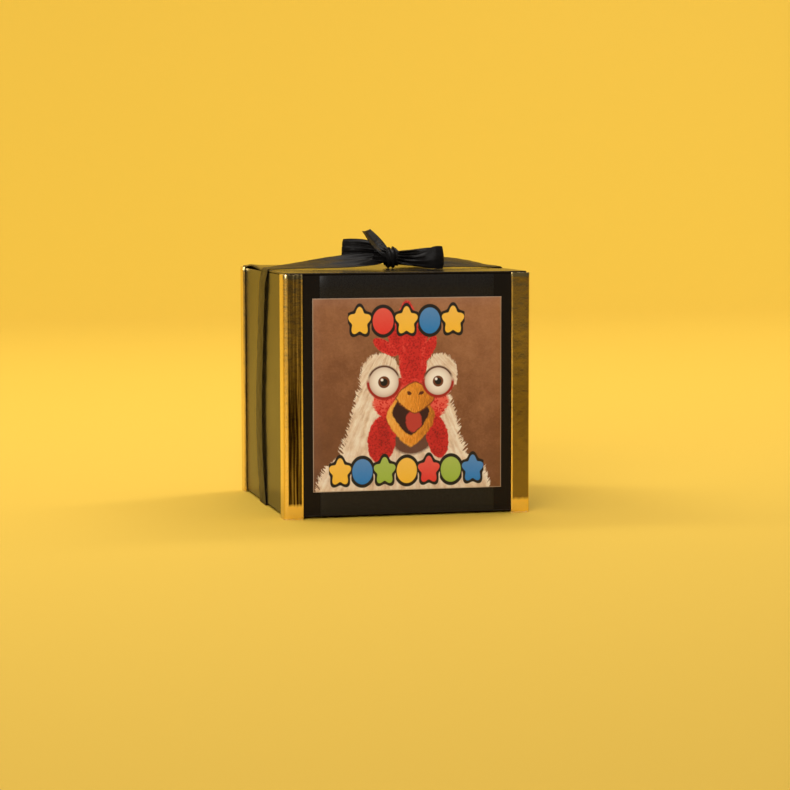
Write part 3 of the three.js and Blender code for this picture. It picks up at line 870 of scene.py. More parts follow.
def modify(piece: bpy.types.Object, kind: str, **settings: object) -> None:
    """Adds a modifier and applies it.

    Args:
        piece: The piece.
        kind: The modifier's type.
        settings: Its settings.
    """
    pick(piece)
    made = piece.modifiers.new(kind.title(), kind)
    for key, value in settings.items():
        setattr(made, key, value)
    bpy.ops.object.modifier_apply(modifier=made.name)


def points_of(piece: bpy.types.Object) -> np.ndarray:
    """The piece's vertices in millimetres, one row each."""
    flat = np.empty(len(piece.data.vertices) * 3)
    piece.data.vertices.foreach_get("co", flat)
    return flat.reshape(-1, 3) / MM


def move_points(piece: bpy.types.Object, points: np.ndarray) -> None:
    """Gives the piece's vertices new places in millimetres."""
    piece.data.vertices.foreach_set("co", (points * MM).ravel())
    piece.data.update()


def smooth(piece: bpy.types.Object, degrees: float = 35.0) -> None:
    """Shades smooth, apart from edges sharper than an angle."""
    pick(piece)
    bpy.ops.object.shade_smooth_by_angle(angle=math.radians(degrees))


def dress(piece: bpy.types.Object, finish: bpy.types.Material) -> bpy.types.Object:
    """Gives the piece one finish."""
    piece.data.materials.clear()
    piece.data.materials.append(finish)
    return piece


def mount(piece: bpy.types.Object, body: Body, slot: str, *nodes: str) -> bpy.types.Object:
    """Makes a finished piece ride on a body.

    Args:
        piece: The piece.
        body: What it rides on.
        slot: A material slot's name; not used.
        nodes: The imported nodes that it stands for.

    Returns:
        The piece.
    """
    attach(piece, body.value)
    if nodes:
        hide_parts(*nodes)
    log.info("%s rides on %s", piece.name, body.value)
    return piece


def box_mm(node: str) -> tuple[np.ndarray, np.ndarray]:
    """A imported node's lowest and highest corners in millimetres."""
    low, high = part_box(node)
    return np.array(low) / MM, np.array(high) / MM


def waves(points: np.ndarray, pitch: float, seed: int) -> np.ndarray:
    """A smooth random height from -1 to 1 at each point: a few sines in drawn directions.

    Args:
        points: The points, one row each.
        pitch: About how far apart its crests are.
        seed: What the directions are drawn from.

    Returns:
        The height at each point.
    """
    draw = np.random.default_rng(seed)
    total = np.zeros(len(points))
    for _ in range(7):
        way = draw.normal(size=points.shape[1])
        way *= 2 * math.pi / (pitch * draw.uniform(0.7, 1.6) * np.linalg.norm(way))
        total += np.sin(points @ way + draw.uniform(0, 2 * math.pi))
    return total / 4.5


def welded_copy(node: str, name: str) -> bpy.types.Object:
    """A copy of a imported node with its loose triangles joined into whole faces.

    Args:
        node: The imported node.
        name: The copy's name.

    Returns:
        The copy, in the node's place.
    """
    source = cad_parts[node]
    piece = bpy.data.objects.new(name, source.data.copy())
    piece.data.name = name
    bpy.context.scene.collection.objects.link(piece)
    pick(piece)
    bpy.ops.object.mode_set(mode="EDIT")
    bpy.ops.mesh.select_all(action="SELECT")
    bpy.ops.mesh.remove_doubles(threshold=1e-5)
    bpy.ops.mesh.dissolve_limited(angle_limit=math.radians(0.5))
    bpy.ops.object.mode_set(mode="OBJECT")
    return piece


def slice_across(piece: bpy.types.Object, axis: int, places: Iterable[float]) -> None:
    """Cuts rings of edges into a piece, square to an axis.

    Args:
        piece: The piece.
        axis: 0, 1 or 2.
        places: Where along the axis, in millimetres.
    """
    pick(piece)
    bpy.ops.object.mode_set(mode="EDIT")
    normal = [float(i == axis) for i in range(3)]
    for place in places:
        bpy.ops.mesh.select_all(action="SELECT")
        bpy.ops.mesh.bisect(plane_co=[n * place * MM for n in normal], plane_no=normal)
    bpy.ops.object.mode_set(mode="OBJECT")


def soft_edges(piece: bpy.types.Object, radius: float, segments: int = 2) -> None:
    """Rounds the piece's sharp edges.

    Args:
        piece: The piece.
        radius: How wide the rounding is, in millimetres.
        segments: How many faces across it has.
    """
    modify(piece, "BEVEL", width=radius * MM, segments=segments, limit_method="ANGLE",
           angle_limit=math.radians(40))


def rounded_copies(parts: Iterable[tuple]) -> None:
    """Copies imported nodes, rounds their edges and mounts them.

    Args:
        parts: For each copy, its node, name, finish, slot, body and edge radius in millimetres.
    """
    for node, name, finish, slot, body, radius in parts:
        piece = welded_copy(node, name)
        soft_edges(piece, radius, 3)
        smooth(piece)
        mount(dress(piece, finish), body, slot, node)


def smooth_track(rows: np.ndarray, at: np.ndarray) -> np.ndarray:
    """Rows interpolated along their chain by a curve that passes through each.

    Args:
        rows: The rows; their first three numbers are places.
        at: Shares of the whole length, 0 to 1.

    Returns:
        A row at each share.
    """
    steps = np.linalg.norm(np.diff(rows[:, :3], axis=0), axis=1)
    knots = np.concatenate([[0.0], np.cumsum(np.maximum(steps, 1e-6))])
    slopes = np.gradient(rows, knots, axis=0)
    where = at * knots[-1]
    k = np.clip(np.searchsorted(knots, where, side="right") - 1, 0, len(rows) - 2)
    gap = knots[k + 1] - knots[k]
    t = ((where - knots[k]) / gap)[:, None]
    gap = gap[:, None]
    return ((2 * t ** 3 - 3 * t ** 2 + 1) * rows[k] + (t ** 3 - 2 * t ** 2 + t) * gap * slopes[k]
            + (3 * t ** 2 - 2 * t ** 3) * rows[k + 1] + (t ** 3 - t ** 2) * gap * slopes[k + 1])


def tube(name: str, line: np.ndarray, radius: float, sides: int = 10) -> bpy.types.Object:
    """A round wire along a line of points in millimetres.

    Args:
        name: The piece's name.
        line: The points, one row each.
        radius: The wire's radius.
        sides: How many sides its section has.

    Returns:
        The wire as a closed mesh.
    """
    curve = bpy.data.curves.new(name, "CURVE")
    curve.dimensions = "3D"
    curve.bevel_depth = radius * MM
    curve.bevel_resolution = max(0, sides // 2 - 2)
    curve.use_fill_caps = True
    spline = curve.splines.new("POLY")
    spline.points.add(len(line) - 1)
    spline.points.foreach_set("co", np.column_stack([line * MM, np.ones(len(line))]).ravel())
    piece = bpy.data.objects.new(name, curve)
    bpy.context.scene.collection.objects.link(piece)
    pick(piece)
    bpy.ops.object.convert(target="MESH")
    smooth(piece)
    return piece


@dataclass(frozen=True)
class Ribbon:
    """A length of satin ribbon laid along a track.

    Each row of the track is x, y, z and chord in millimetres, the direction across the ribbon,
    how far its middle bulges, and how deep its pleats are.
    """

    name: str
    track: Sequence[Row]
    along: int = 90
    across: int = 22
    pleats: float = 2.5
    crumple: float = 0.12
    seed: int = 1
    square: bool = True
    thickness: float = 0.32
    full_width: float = RIBBON_WIDTH

    def build(self, finish: bpy.types.Material) -> bpy.types.Object:
        """Makes the ribbon.

        Args:
            finish: The ribbon's material.

        Returns:
            A closed strip with its UV map in metres along and across the cloth.
        """
        piece = primitive("grid", self.name, x_subdivisions=self.along, y_subdivisions=self.across,
                          size=2, calc_uvs=True)
        grid = points_of(piece) * MM
        share, side = (grid[:, 0] + 1) / 2, grid[:, 1]
        rows = np.array(self.track, float)
        row = smooth_track(rows, share)
        step = 1e-3
        ahead, behind = (smooth_track(rows, np.clip(share + d, 0, 1))[:, :3] for d in (step, -step))
        tangent = ahead - behind
        tangent /= np.linalg.norm(tangent, axis=1)[:, None]
        over = row[:, 4:7].copy()
        if self.square:
            over -= (over * tangent).sum(1)[:, None] * tangent
        over /= np.linalg.norm(over, axis=1)[:, None]
        normal = np.cross(over, tangent)
        length = self.cut_length()
        phase = side * math.pi * self.pleats
        swing = 1.3 * np.sin(share * length / 17.0 + self.seed)
        fold = row[:, 8] * (np.sin(phase + swing) + 0.35 * np.sin(2.3 * phase - 1.7 * swing))
        flat = np.column_stack([share * length, side * self.full_width / 2])
        bumps = (self.crumple * waves(flat, 9.0, self.seed)
                 + 0.3 * self.crumple * waves(flat, 3.4, self.seed + 9))
        height = row[:, 7] * (1 - side ** 2) + fold + bumps
        points = row[:, :3] + over * (side * row[:, 3] / 2)[:, None] + normal * height[:, None]
        move_points(piece, points)
        layer = piece.data.uv_layers.active.data
        corner = np.empty(len(piece.data.loops), int)
        piece.data.loops.foreach_get("vertex_index", corner)
        layer.foreach_set("uv", (flat[corner] * MM).ravel())
        modify(piece, "SOLIDIFY", thickness=self.thickness * MM, offset=0.0)
        smooth(piece, 60)
        dress(piece, finish)
        return piece

    def cut_length(self) -> float:
        """The ribbon's length along its track, in millimetres."""
        line = smooth_track(np.array(self.track, float), np.linspace(0, 1, TRACK_STEPS))[:, :3]
        return float(np.linalg.norm(np.diff(line, axis=0), axis=1).sum())


# ---- sub-assemblies ----------------------------------------------------------------------------
@dataclass
class Studio:
    """Camera, lights, floor and wall; none of it is part of the object."""

    azimuth: float = 13.173
    elevation: float = 4.968
    roll: float = -0.113
    distance: float = 1700.3
    aim_right: float = 10.259
    aim_height: float = 73.063
    lens: float = 112.606
    backdrop_colour: Colour = (0.82, 0.53, 0.05)
    backdrop_reach: float = 8.0
    wall_place: float = 3.8
    sweep: float = 1.6

    def build(self) -> None:
        """Sets the whole studio up."""
        self.camera()
        self.room()
        self.lights()
        scene = bpy.context.scene
        scene.view_settings.view_transform = "Standard"

    def camera(self) -> None:
        """Places the camera."""
        turn, tilt = math.radians(self.azimuth), math.radians(self.elevation)
        right = Vector((math.cos(turn), -math.sin(turn), 0))
        target = right * self.aim_right + Vector((0, 0, self.aim_height))
        ahead = Vector((math.sin(turn) * math.cos(tilt), math.cos(turn) * math.cos(tilt), -math.sin(tilt)))
        data = bpy.data.cameras.new("camera")
        data.lens, data.sensor_width = self.lens, 36.0
        data.clip_start, data.clip_end = 0.05, 60.0
        camera = bpy.data.objects.new("camera", data)
        bpy.context.scene.collection.objects.link(camera)
        camera.location = (target - ahead * self.distance) * MM
        up = right.cross(ahead)
        roll = math.radians(self.roll)
        side = right * math.cos(roll) + up * math.sin(roll)
        above = side.cross(ahead)
        matrix = camera.matrix_world.copy()
        for i, axis in enumerate((side, above, -ahead)):
            for j in range(3):
                matrix[j][i] = axis[j]
        for j in range(3):
            matrix[j][3] = camera.location[j]
        camera.matrix_world = matrix
        bpy.context.scene.camera = camera

    def room(self) -> None:
        """Adds one plain backdrop: a floor that sweeps up into a wall well behind the object."""
        reach, wall = self.backdrop_reach, self.wall_place
        backdrop = primitive("plane", "backdrop", size=2 * reach, location=(0, wall - reach, 0))
        settle(backdrop)
        pick(backdrop)
        bpy.ops.object.mode_set(mode="EDIT")
        bpy.ops.mesh.select_mode(type="EDGE")
        bpy.ops.mesh.select_all(action="DESELECT")
        bpy.ops.object.mode_set(mode="OBJECT")
        for edge in backdrop.data.edges:
            edge.select = all(backdrop.data.vertices[v].co.y > wall - 0.01 for v in edge.vertices)
        bpy.ops.object.mode_set(mode="EDIT")
        bpy.ops.mesh.extrude_region_move(TRANSFORM_OT_translate={"value": (0, 0, 6)})
        bpy.ops.object.mode_set(mode="OBJECT")
        modify(backdrop, "BEVEL", width=self.sweep, segments=24, limit_method="ANGLE")
        smooth(backdrop, 60)
        s = Shader("backdrop")
        cloud = s.noise(s.point(*s.place()), 0.002, 2.0, 0.5)
        clouded = tuple(0.95 * c for c in self.backdrop_colour)
        s.set(Base_Color=s.mix(cloud * 0.2, self.backdrop_colour, clouded),
              Roughness=0.75)
        dress(backdrop, s.material)

    def lights(self) -> None:
        """Adds soft lights: one overhead, one at the front left, and two on the wall."""
        self._soft("overhead", (-0.10, 0.20, 1.5), (0, 0.05, 0.05), (2.0, 1.6), 17.0)
        self._soft("front", (-1.3, -2.9, 1.5), (0, 0, 0.10), (2.2, 1.5), 12.0, spread=75)
        self._soft("wall_left", (-2.0, 1.2, 2.4), (-1.2, 3.6, 0.1), (2.0, 1.0), 56.0)
        self._soft("wall_right", (2.0, 1.2, 2.4), (1.2, 3.6, 0.1), (2.0, 1.0), 56.0)
        world = bpy.data.worlds.new("studio")
        world.use_nodes = True
        world.node_tree.nodes["Background"].inputs["Color"].default_value = (0.95, 0.95, 1.0, 1)
        world.node_tree.nodes["Background"].inputs["Strength"].default_value = 0.16
        bpy.context.scene.world = world

    @staticmethod
    def _soft(name: str, place: Colour, aim: Colour, size: tuple[float, float], watts: float,
              spread: float = 180.0) -> None:
        """Adds a rectangular area light that looks at a point.

        Args:
            name: The light's name.
            place: Where it hangs, in metres.
            aim: What it looks at.
            size: Its two sides.
            watts: Its power.
            spread: How wide its beam is, in degrees.
        """
        data = bpy.data.lights.new(name, "AREA")
        data.shape, data.size, data.size_y, data.energy = "RECTANGLE", size[0], size[1], watts
        data.color, data.spread = (1.0, 0.97, 0.93), math.radians(spread)
        light = bpy.data.objects.new(name, data)
        bpy.context.scene.collection.objects.link(light)
        light.location = place
        light.rotation_euler = (Vector(aim) - Vector(place)).to_track_quat("-Z", "Y").to_euler()


@dataclass
class BoardBox:
    """The five glued panels, rounded where the paper is folded over the board."""

    fold_radius: float = 0.45
    bow_out: float = 0.16
    panels: tuple[str, ...] = ("base_panel", "front_panel", "back_panel", "left_panel", "right_panel")

    def build(self, finish: bpy.types.Material) -> None:
        """Makes the panels.

        Args:
            finish: Their material.
        """
        for number, node in enumerate(self.panels):
            piece = welded_copy(node, node.replace("panel", "board"))
            low, high = box_mm(node)
            for axis in range(3):
                if high[axis] - low[axis] > 20:
                    slice_across(piece, axis, np.linspace(low[axis], high[axis], 13)[1:-1])
            points = points_of(piece)
            thin = int(np.argmin(high - low))
            wide = [a for a in range(3) if a != thin]
            centre, reach = (low + high) / 2, (high - low) / 2
            crown = np.prod([1 - ((points[:, a] - centre[a]) / reach[a]) ** 2 for a in wide], axis=0)
            sway = self.bow_out * crown * waves(points[:, wide], 70.0, number + 3)
            points[:, thin] += np.clip(sway, -self.bow_out, self.bow_out) * 0.8
            move_points(piece, points)
            soft_edges(piece, self.fold_radius, 3)
            smooth(piece)
            mount(dress(piece, finish), Body.BOX, "black_board", node)


@dataclass
class CornerTrims:
    """Four card angles wrapped in gold foil, with the foil's slight waves and dented ends."""

    slices: int = 46
    wave: float = 0.11
    crush: float = 0.45
    nodes: tuple[str, ...] = ("corner_trim_left_front", "corner_trim_right_front",
                              "corner_trim_left_back", "corner_trim_right_back")

    def build(self, finish: bpy.types.Material) -> None:
        """Makes the trims.

        Args:
            finish: The foil.
        """
        for number, node in enumerate(self.nodes):
            piece = welded_copy(node, node.replace("corner_trim", "foil_angle"))
            low, high = box_mm(node)
            slice_across(piece, 2, np.linspace(low[2], high[2], self.slices)[1:-1])
            for axis in (0, 1):
                slice_across(piece, axis, np.linspace(low[axis], high[axis], 9)[1:-1])
            soft_edges(piece, 0.28, 2)
            move_points(piece, self._worn(points_of(piece), low, high, number))
            smooth(piece, 50)
            mount(dress(piece, finish), Body.BOX, "gold_foil", node)

    def _worn(self, points: np.ndarray, low: np.ndarray, high: np.ndarray, seed: int) -> np.ndarray:
        """Waves the outer faces inwards a little and crushes the ends.

        Args:
            points: The trim's vertices.
            low: Its lowest corner.
            high: Its highest corner.
            seed: What the waves are drawn from.

        Returns:
            The vertices in their new places.
        """
        middle = (low + high) / 2
        outward = np.sign(middle[:2])
        worn = points.copy()
        stretched = points * (1.0, 1.0, 0.16)
        for axis in (0, 1):
            face = np.abs(middle[axis]) + (high[axis] - low[axis]) / 2
            outer = np.clip((np.abs(points[:, axis]) - face + 1.2) / 1.2, 0, 1)
            dip = self.wave * (0.5 + 0.5 * waves(stretched, 7.5, seed * 2 + axis))
            worn[:, axis] -= outward[axis] * outer * dip
        top = np.clip((points[:, 2] - high[2] + 2.0) / 2.0, 0, 1) ** 2
        worn[:, 2] -= top * self.crush * (0.5 + 0.5 * waves(points[:, :2], 3.0, seed + 40))
        return worn


@dataclass
class FrontFace:
    """The black film and the printed picture on the front panel."""

    def build(self, film: bpy.types.Material, picture: bpy.types.Material) -> None:
        """Makes both sheets.

        Args:
            film: The film's finish.
            picture: The print.
        """
        for node, name, finish, slot, lift in (
                ("front_film", "label_film", film, "black_film", 0.05),
                ("front_picture", "printed_label", picture, "picture_print", 0.10)):
            piece = welded_copy(node, name)
            low, high = box_mm(node)
            for axis in (0, 2):
                slice_across(piece, axis, np.linspace(low[axis], high[axis], 17)[1:-1])
            points = points_of(piece)
            u = (points[:, 0] - low[0]) / (high[0] - low[0]) * 2 - 1
            v = (points[:, 2] - low[2]) / (high[2] - low[2]) * 2 - 1
            near_corner = np.clip(np.abs(u * v) - 0.85, 0, 1) / 0.15
            points[:, 1] -= lift * near_corner * (points[:, 1] < (low[1] + high[1]) / 2)
            move_points(piece, points)
            soft_edges(piece, 0.1, 2)
            smooth(piece)
            mount(dress(piece, finish), Body.BOX, slot, node)


@dataclass
class Hinge:
    """The cloth strip that joins the lid to the back wall, with a slight ridge where the lid turns."""

    rows_up: int = 60

    def build(self, finish: bpy.types.Material) -> None:
        """Makes the strip.

        Args:
            finish: Its cloth.
        """
        low, high = box_mm("hinge_strip")
        lid_low, lid_high = box_mm("lid_panel")
        piece = primitive("grid", "hinge_cloth", x_subdivisions=60, y_subdivisions=self.rows_up, size=2)
        grid = points_of(piece) * MM
        middle = (low[1] + high[1]) / 2
        x = grid[:, 0] * (high[0] - low[0]) / 2
        z = low[2] + (grid[:, 1] + 1) / 2 * (lid_high[2] - 0.15 - low[2])
        sag = 0.05 * waves(np.column_stack([x, z]), 8.0, 5)
        ridge = 0.12 * np.exp(-((z - lid_low[2]) / 0.7) ** 2)
        move_points(piece, np.column_stack([x, middle + sag + ridge, z]))
        modify(piece, "SOLIDIFY", thickness=0.4 * MM, offset=0.0)
        smooth(piece, 60)
        dress(piece, finish)
        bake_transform(piece)
        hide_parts("hinge_strip")
        log.info("%s bends from %s to %s", piece.name, Body.BOX.value, Body.LID.value)


@dataclass
class Closure:
    """The ledge, its magnets and the lid's steel plates."""

    def build(self, board: bpy.types.Material, nickel: bpy.types.Material,
              steel: bpy.types.Material) -> None:
        """Makes the closure.

        Args:
            board: The ledge's finish.
            nickel: The magnets' finish.
            steel: The plates' finish.
        """
        parts = [("front_ledge", "magnet_ledge", board, "grey_board", Body.BOX, 0.35)]
        parts += [(f"magnet_{s}", f"disc_magnet_{s}", nickel, "magnet_nickel", Body.BOX, 0.2)
                  for s in ("left", "right")]
        parts += [(f"lid_plate_{s}", f"steel_disc_{s}", steel, "plate_steel", Body.LID, 0.15)
                  for s in ("left", "right")]
        rounded_copies(parts)


@dataclass
class Lid:
    """The lid board, which lifts a little at its left edge behind the ribbon, and its liner."""

    lift: float = 1.75
    lift_from: float = 10.0
    lift_to: float = 74.0
    reach: float = 34.0
    fold_radius: float = 0.42

    def build(self, finish: bpy.types.Material, inside: bpy.types.Material) -> None:
        """Makes the lid and its liner.

        Args:
            finish: The lid's finish.
            inside: The liner's finish.
        """
        piece = welded_copy("lid_panel", "lid_board")
        low, high = box_mm("lid_panel")
        for axis in (0, 1):
            slice_across(piece, axis, np.linspace(low[axis], high[axis], 37)[1:-1])
        soft_edges(piece, self.fold_radius, 3)
        points = points_of(piece)
        points[:, 2] += self.rise(points)
        inner = np.clip((75 - np.abs(points[:, 1])) / 20, 0, 1)
        points[:, 2] += 0.07 * waves(points[:, :2], 60.0, 12) * inner
        move_points(piece, points)
        smooth(piece)
        mount(dress(piece, finish), Body.LID, "black_board", "lid_panel")
        liner = welded_copy("lid_liner", "lid_lining")
        soft_edges(liner, 0.3, 2)
        smooth(liner)
        mount(dress(liner, inside), Body.LID, "black_board", "lid_liner")

    def rise(self, points: np.ndarray) -> np.ndarray:
        """How far the warped board stands off at each point.

        Args:
            points: The lid's vertices.

        Returns:
            The height to add at each.
        """
        span = np.clip((points[:, 1] - self.lift_from) / (self.lift_to - self.lift_from), 0, 1)
        along = np.sin(span ** 1.15 * math.pi) ** 1.2
        across = np.clip((-points[:, 0] - (81 - self.reach)) / self.reach, 0, 1) ** 1.6
        return self.lift * along * across


@dataclass
class BoxRibbon:
    """The ribbon down both sides and under the base."""

    strand_x: float = 82.35
    edge_x: float = 81.55
    top: float = 159.2
    strap_z: float = 0.8
    left: tuple[tuple[float, float, float], ...] = (
        (1.0, -9.0, 0.0), (0.956, -5.0, 0.25), (0.88, -1.5, 0.3), (0.678, 5.0, 0.35), (0.44, 11.0, 0.3),
        (0.15, 7.0, 0.2), (0.0, 2.5, 0.0))
    right: tuple[tuple[float, float, float], ...] = (
        (1.0, -9.0, 0.0), (0.82, -7.0, 0.2), (0.5, -3.0, 0.3), (0.19, 1.0, 0.2), (0.0, 2.5, 0.0))

    def build(self, satin: bpy.types.Material) -> None:
        """Makes the strands and the strap.

        Args:
            satin: The ribbon's material.
        """
        for side, sign, route in (("left", -1, self.left), ("right", 1, self.right)):
            rows = [(sign * (self.edge_x if share in (0.0, 1.0) else self.strand_x), y,
                     self.strap_z + share * (self.top - self.strap_z), RIBBON_WIDTH,
                     0, 1, 0, -sign * bulge, 0.0)
                    for share, y, bulge in route]
            ribbon = Ribbon(f"ribbon_side_{side}", rows, along=120, across=14, crumple=0.16,
                            seed=5 + sign, square=False)
            self._lay(ribbon, satin, "stretched", [f"{side}_board"], f"side_strand_{side}")
        reach = self.strand_x - 0.35
        rows = [(x, 2.5, self.strap_z, RIBBON_WIDTH, 0, 1, 0, 0.0, 0.0)
                for x in np.linspace(-reach, reach, 5)]
        strap = Ribbon("ribbon_under", rows, along=40, across=8, crumple=0.03, seed=9)
        self._lay(strap, satin, "stretched", ["base_board"], "base_strap")

    @staticmethod
    def _lay(ribbon: Ribbon, satin: bpy.types.Material, held: str, rests_on: list[str], node: str) -> None:
        """Builds one length and mounts it on the box."""
        piece = ribbon.build(satin)
        ribbon.cut_length() * MM
        mount(piece, Body.BOX, "satin_ribbon", node)


@dataclass
class LidRibbon:
    """The strands across the lid and the bow that ties them."""

    lid_top: float = 160.5
    edge_x: float = 81.55
    y: float = -9.0
    knot: tuple[float, float, float] = (5.9, -9.5, 167.9)
    knot_radii: tuple[float, float] = (6.2, 5.0)
    front_left: Sequence[Row] = (
        (5.0, -9.0, 8.3, 5.0, 0, 0.05, 1, 0.0, 0.8), (0.5, -5.2, 11.2, 7.8, 0, 0.05, 1, 0.2, 1.3),
        (-7, 1.5, 12.3, 12.8, 0, 0.05, 1, 0.8, 1.0), (-14.4, 4.8, 12.5, 14.8, 0, 0.05, 1, 1.2, 0.5),
        (-20.4, 6.6, 12.5, 15.0, 0.04, 0.05, 1, 0.9, 0.25), (-23.9, 9.8, 12.4, 14.4, 0.09, 0.05, 1, 0.5, 0.1),
        (-21.2, 13.2, 12.4, 14.6, 0.04, 0.05, 1, 0.8, 0.3), (-15, 13.4, 12.3, 14.2, 0, 0.05, 1, 1.2, 0.7),
        (-7, 9, 12.0, 11.5, 0, 0.05, 1, 0.8, 1.2), (1.0, -2, 10.6, 6.8, 0, 0.05, 1, 0.2, 1.3),
        (5.5, -6.5, 8.0, 5.0, 0, 0.05, 1, 0.0, 0.8))
    front_right: Sequence[Row] = (
        (6.0, -9.5, 7.2, 5.0, 0, 0.05, 1, 0.0, 0.8), (10.0, -17.0, 7.0, 6.8, 0, 0.05, 1, -0.2, 1.3),
        (14.2, -24.0, 6.5, 8.0, 0, 0.05, 1, -0.7, 1.0), (19.6, -30.4, 6.6, 9.6, 0, 0.05, 1, -1.6, 0.5),
        (26.0, -34.8, 7.3, 13.0, 0, 0.05, 1, -2.4, 0.06), (31.0, -36.4, 7.9, 15.4, 0, 0.05, 1, -2.0, 0.0),
        (35.6, -34.0, 7.8, 14.8, -0.03, 0.05, 1, -0.8, 0.0), (33.0, -30.6, 7.7, 14.0, 0, 0.05, 1, -0.4, 0.5),
        (26, -26.6, 8.1, 12.2, 0, 0.05, 1, 0.2, 1.0), (18.4, -20.2, 8.3, 9.5, 0, 0.05, 1, 0.2, 1.3),
        (11.8, -12.6, 8.9, 6.2, 0, 0.05, 1, 0.0, 1.2), (6.5, -7.0, 8.4, 5.0, 0, 0.05, 1, 0.0, 0.8))
    upper_tail: Sequence[Row] = (
        (7.2, -10.4, 7.2, 9.0, 0.45, 0.86, 0.2, 0.0, 1.0),
        (3.8, -10.6, 9.8, 13.0, 0.50, 0.84, 0.2, -0.4, 1.1),
        (0.2, -10.2, 13.0, 16.5, 0.52, 0.83, 0.2, -1.0, 0.6),
        (-5.8, -9.4, 19.6, 18.8, 0.51, 0.84, 0.18, -1.5, 0.2),
        (-11.4, -8.6, 26.1, 18.6, 0.49, 0.87, 0.05, -1.2, 0.0))
    rear_tail: Sequence[Row] = (
        (6.6, -6.0, 7.6, 6.0, 0.7, -0.4, 0.5, 0.0, 1.0), (10.8, 1.0, 7.4, 9.0, 0.72, -0.45, 0.48, 0.0, 1.2),
        (17, 7.5, 5.5, 14.0, 0.75, -0.6, 0.35, 0.3, 0.9), (26, 14, 3.3, 20.0, 0.6, -0.8, 0.15, 0.4, 0.3),
        (37, 20, 1.8, 22.0, 0.5, -0.86, 0.04, 0.3, 0.1), (50, 27, 1.2, 22.0, 0.5, -0.86, 0, 0.1, 0.0))
    tuck: Sequence[Row] = (
        (5.6, -11.6, 7.6, 5.5, 0.1, 0.5, 0.85, 0.0, 1.1), (1.2, -14.4, 8.2, 7.0, 0.15, 0.5, 0.85, -0.4, 1.1),
        (-2.6, -14.2, 8.9, 8.0, 0.3, 0.5, 0.8, -0.5, 1.0), (-6.5, -11.0, 9.2, 8.0, 0.3, 0.4, 0.8, -0.3, 1.2))

    def build(self, satin: bpy.types.Material) -> None:
        """Makes the strands, the loops, the tails and the knot.

        Args:
            satin: The ribbon's material.
        """
        lengths = [
            (Ribbon("ribbon_lid_left", self._left_strand(), 150, 26, 2.2, 0.14, 21), "stretched",
             ("lid_strand_left",)),
            (Ribbon("ribbon_lid_right", self._right_strand(), 150, 26, 2.4, 0.14, 27), "stretched",
             ("lid_strand_right",)),
            (Ribbon("bow_left", self._raised(self.front_left), 130, 40, 3.0, 0.24, 31), "gathered",
             ("bow_loop_left",)),
            (Ribbon("bow_right", self._raised(self.front_right), 140, 40, 3.2, 0.18, 37), "gathered",
             ("bow_loop_right",)),
            (Ribbon("tail_upper", self._raised(self.upper_tail), 50, 24, 2.2, 0.12, 41, False), "gathered",
             ("bow_tail_upper",)),
            (Ribbon("tail_rear", self._raised(self.rear_tail), 80, 24, 2.2, 0.20, 43), "gathered",
             ("bow_tail_rear",)),
            (Ribbon("bow_tuck", self._raised(self.tuck), 60, 36, 4.6, 0.10, 47), "folded", ()),
            (Ribbon("knot_wrap", self._knot_track(), 110, 26, 2.8, 0.22, 53), "gathered", ("bow_knot",)),
        ]
        for ribbon, held, nodes in lengths:
            piece = ribbon.build(satin)
            ribbon.cut_length() * MM
            mount(piece, Body.LID, "satin_ribbon", *nodes)

    def _raised(self, rows: Sequence[Row]) -> list[Row]:
        """Rows whose third number is a height above the lid, turned into places."""
        return [(row[0], row[1], self.lid_top + row[2], *row[3:]) for row in rows]

    def _strand_row(self, x: float, dy: float, lift: float, opened: float, slope: float,
                    pleat: float) -> Row:
        """A strand's row from its front edge's height.

        Args:
            x: Place along the lid.
            dy: How far its middle strays from the straight line.
            lift: How far the front edge stands off the lid.
            opened: The share of the full width that it opens to.
            slope: Its slope from front to back.
            pleat: How deep its pleats are.

        Returns:
            The row.
        """
        width = opened * RIBBON_WIDTH
        rise = width / 2 * math.sin(math.atan(slope))
        return (x, self.y + dy, self.lid_top + lift + rise, width, 0, 1, slope,
                -0.35 * opened - pleat * 0.2, pleat)

    def _strand_end(self, sign: int) -> list[Row]:
        """Four rows from the side, round the lid's edge and onto the lid.

        Args:
            sign: -1 for the left edge and 1 for the right.

        Returns:
            The rows.
        """
        x = self.edge_x
        bend = ((x, 159.35), (x, 160.3), (x - 0.6, 160.9))
        return [*((sign * along, self.y, up, RIBBON_WIDTH, 0, 1, 0, 0.0, 0.0) for along, up in bend),
                self._strand_row(sign * (x - 5.4), 0, 0.55, 1, 0.03, 0.0)]

    def _left_strand(self) -> list[Row]:
        """The strand from the lid's left edge to the knot."""
        inner = ((-57.0, 0, 0.9, 1, 0.15, 0.0), (-33.0, -0.5, 0.95, 1, 0.33, 0.12),
                 (-16, -1, 1.5, 0.93, 0.44, 0.6),
                 (-6, -1, 3.0, 0.70, 0.45, 1.2), (0.5, -0.7, 5.0, 0.40, 0.4, 1.3),
                 (5.0, -0.5, 5.8, 0.28, 0.4, 0.9))
        return [*self._strand_end(-1), *(self._strand_row(*row) for row in inner)]

    def _right_strand(self) -> list[Row]:
        """The strand from the knot to the lid's right edge."""
        inner = ((6.0, 0.6, 5.0, 0.28, 0.3, 0.9), (11.6, 2, 3.4, 0.36, 0.3, 1.2),
                 (20, 1.5, 1.8, 0.64, 0.35, 1.0),
                 (30, 0.5, 1.2, 0.91, 0.33, 0.35), (42, 0, 0.9, 1, 0.3, 0.12), (54, 0, 0.85, 1, 0.24, 0.0),
                 (68, 0, 0.8, 1, 0.12, 0.0))
        return [*(self._strand_row(*row) for row in inner), *reversed(self._strand_end(1))]

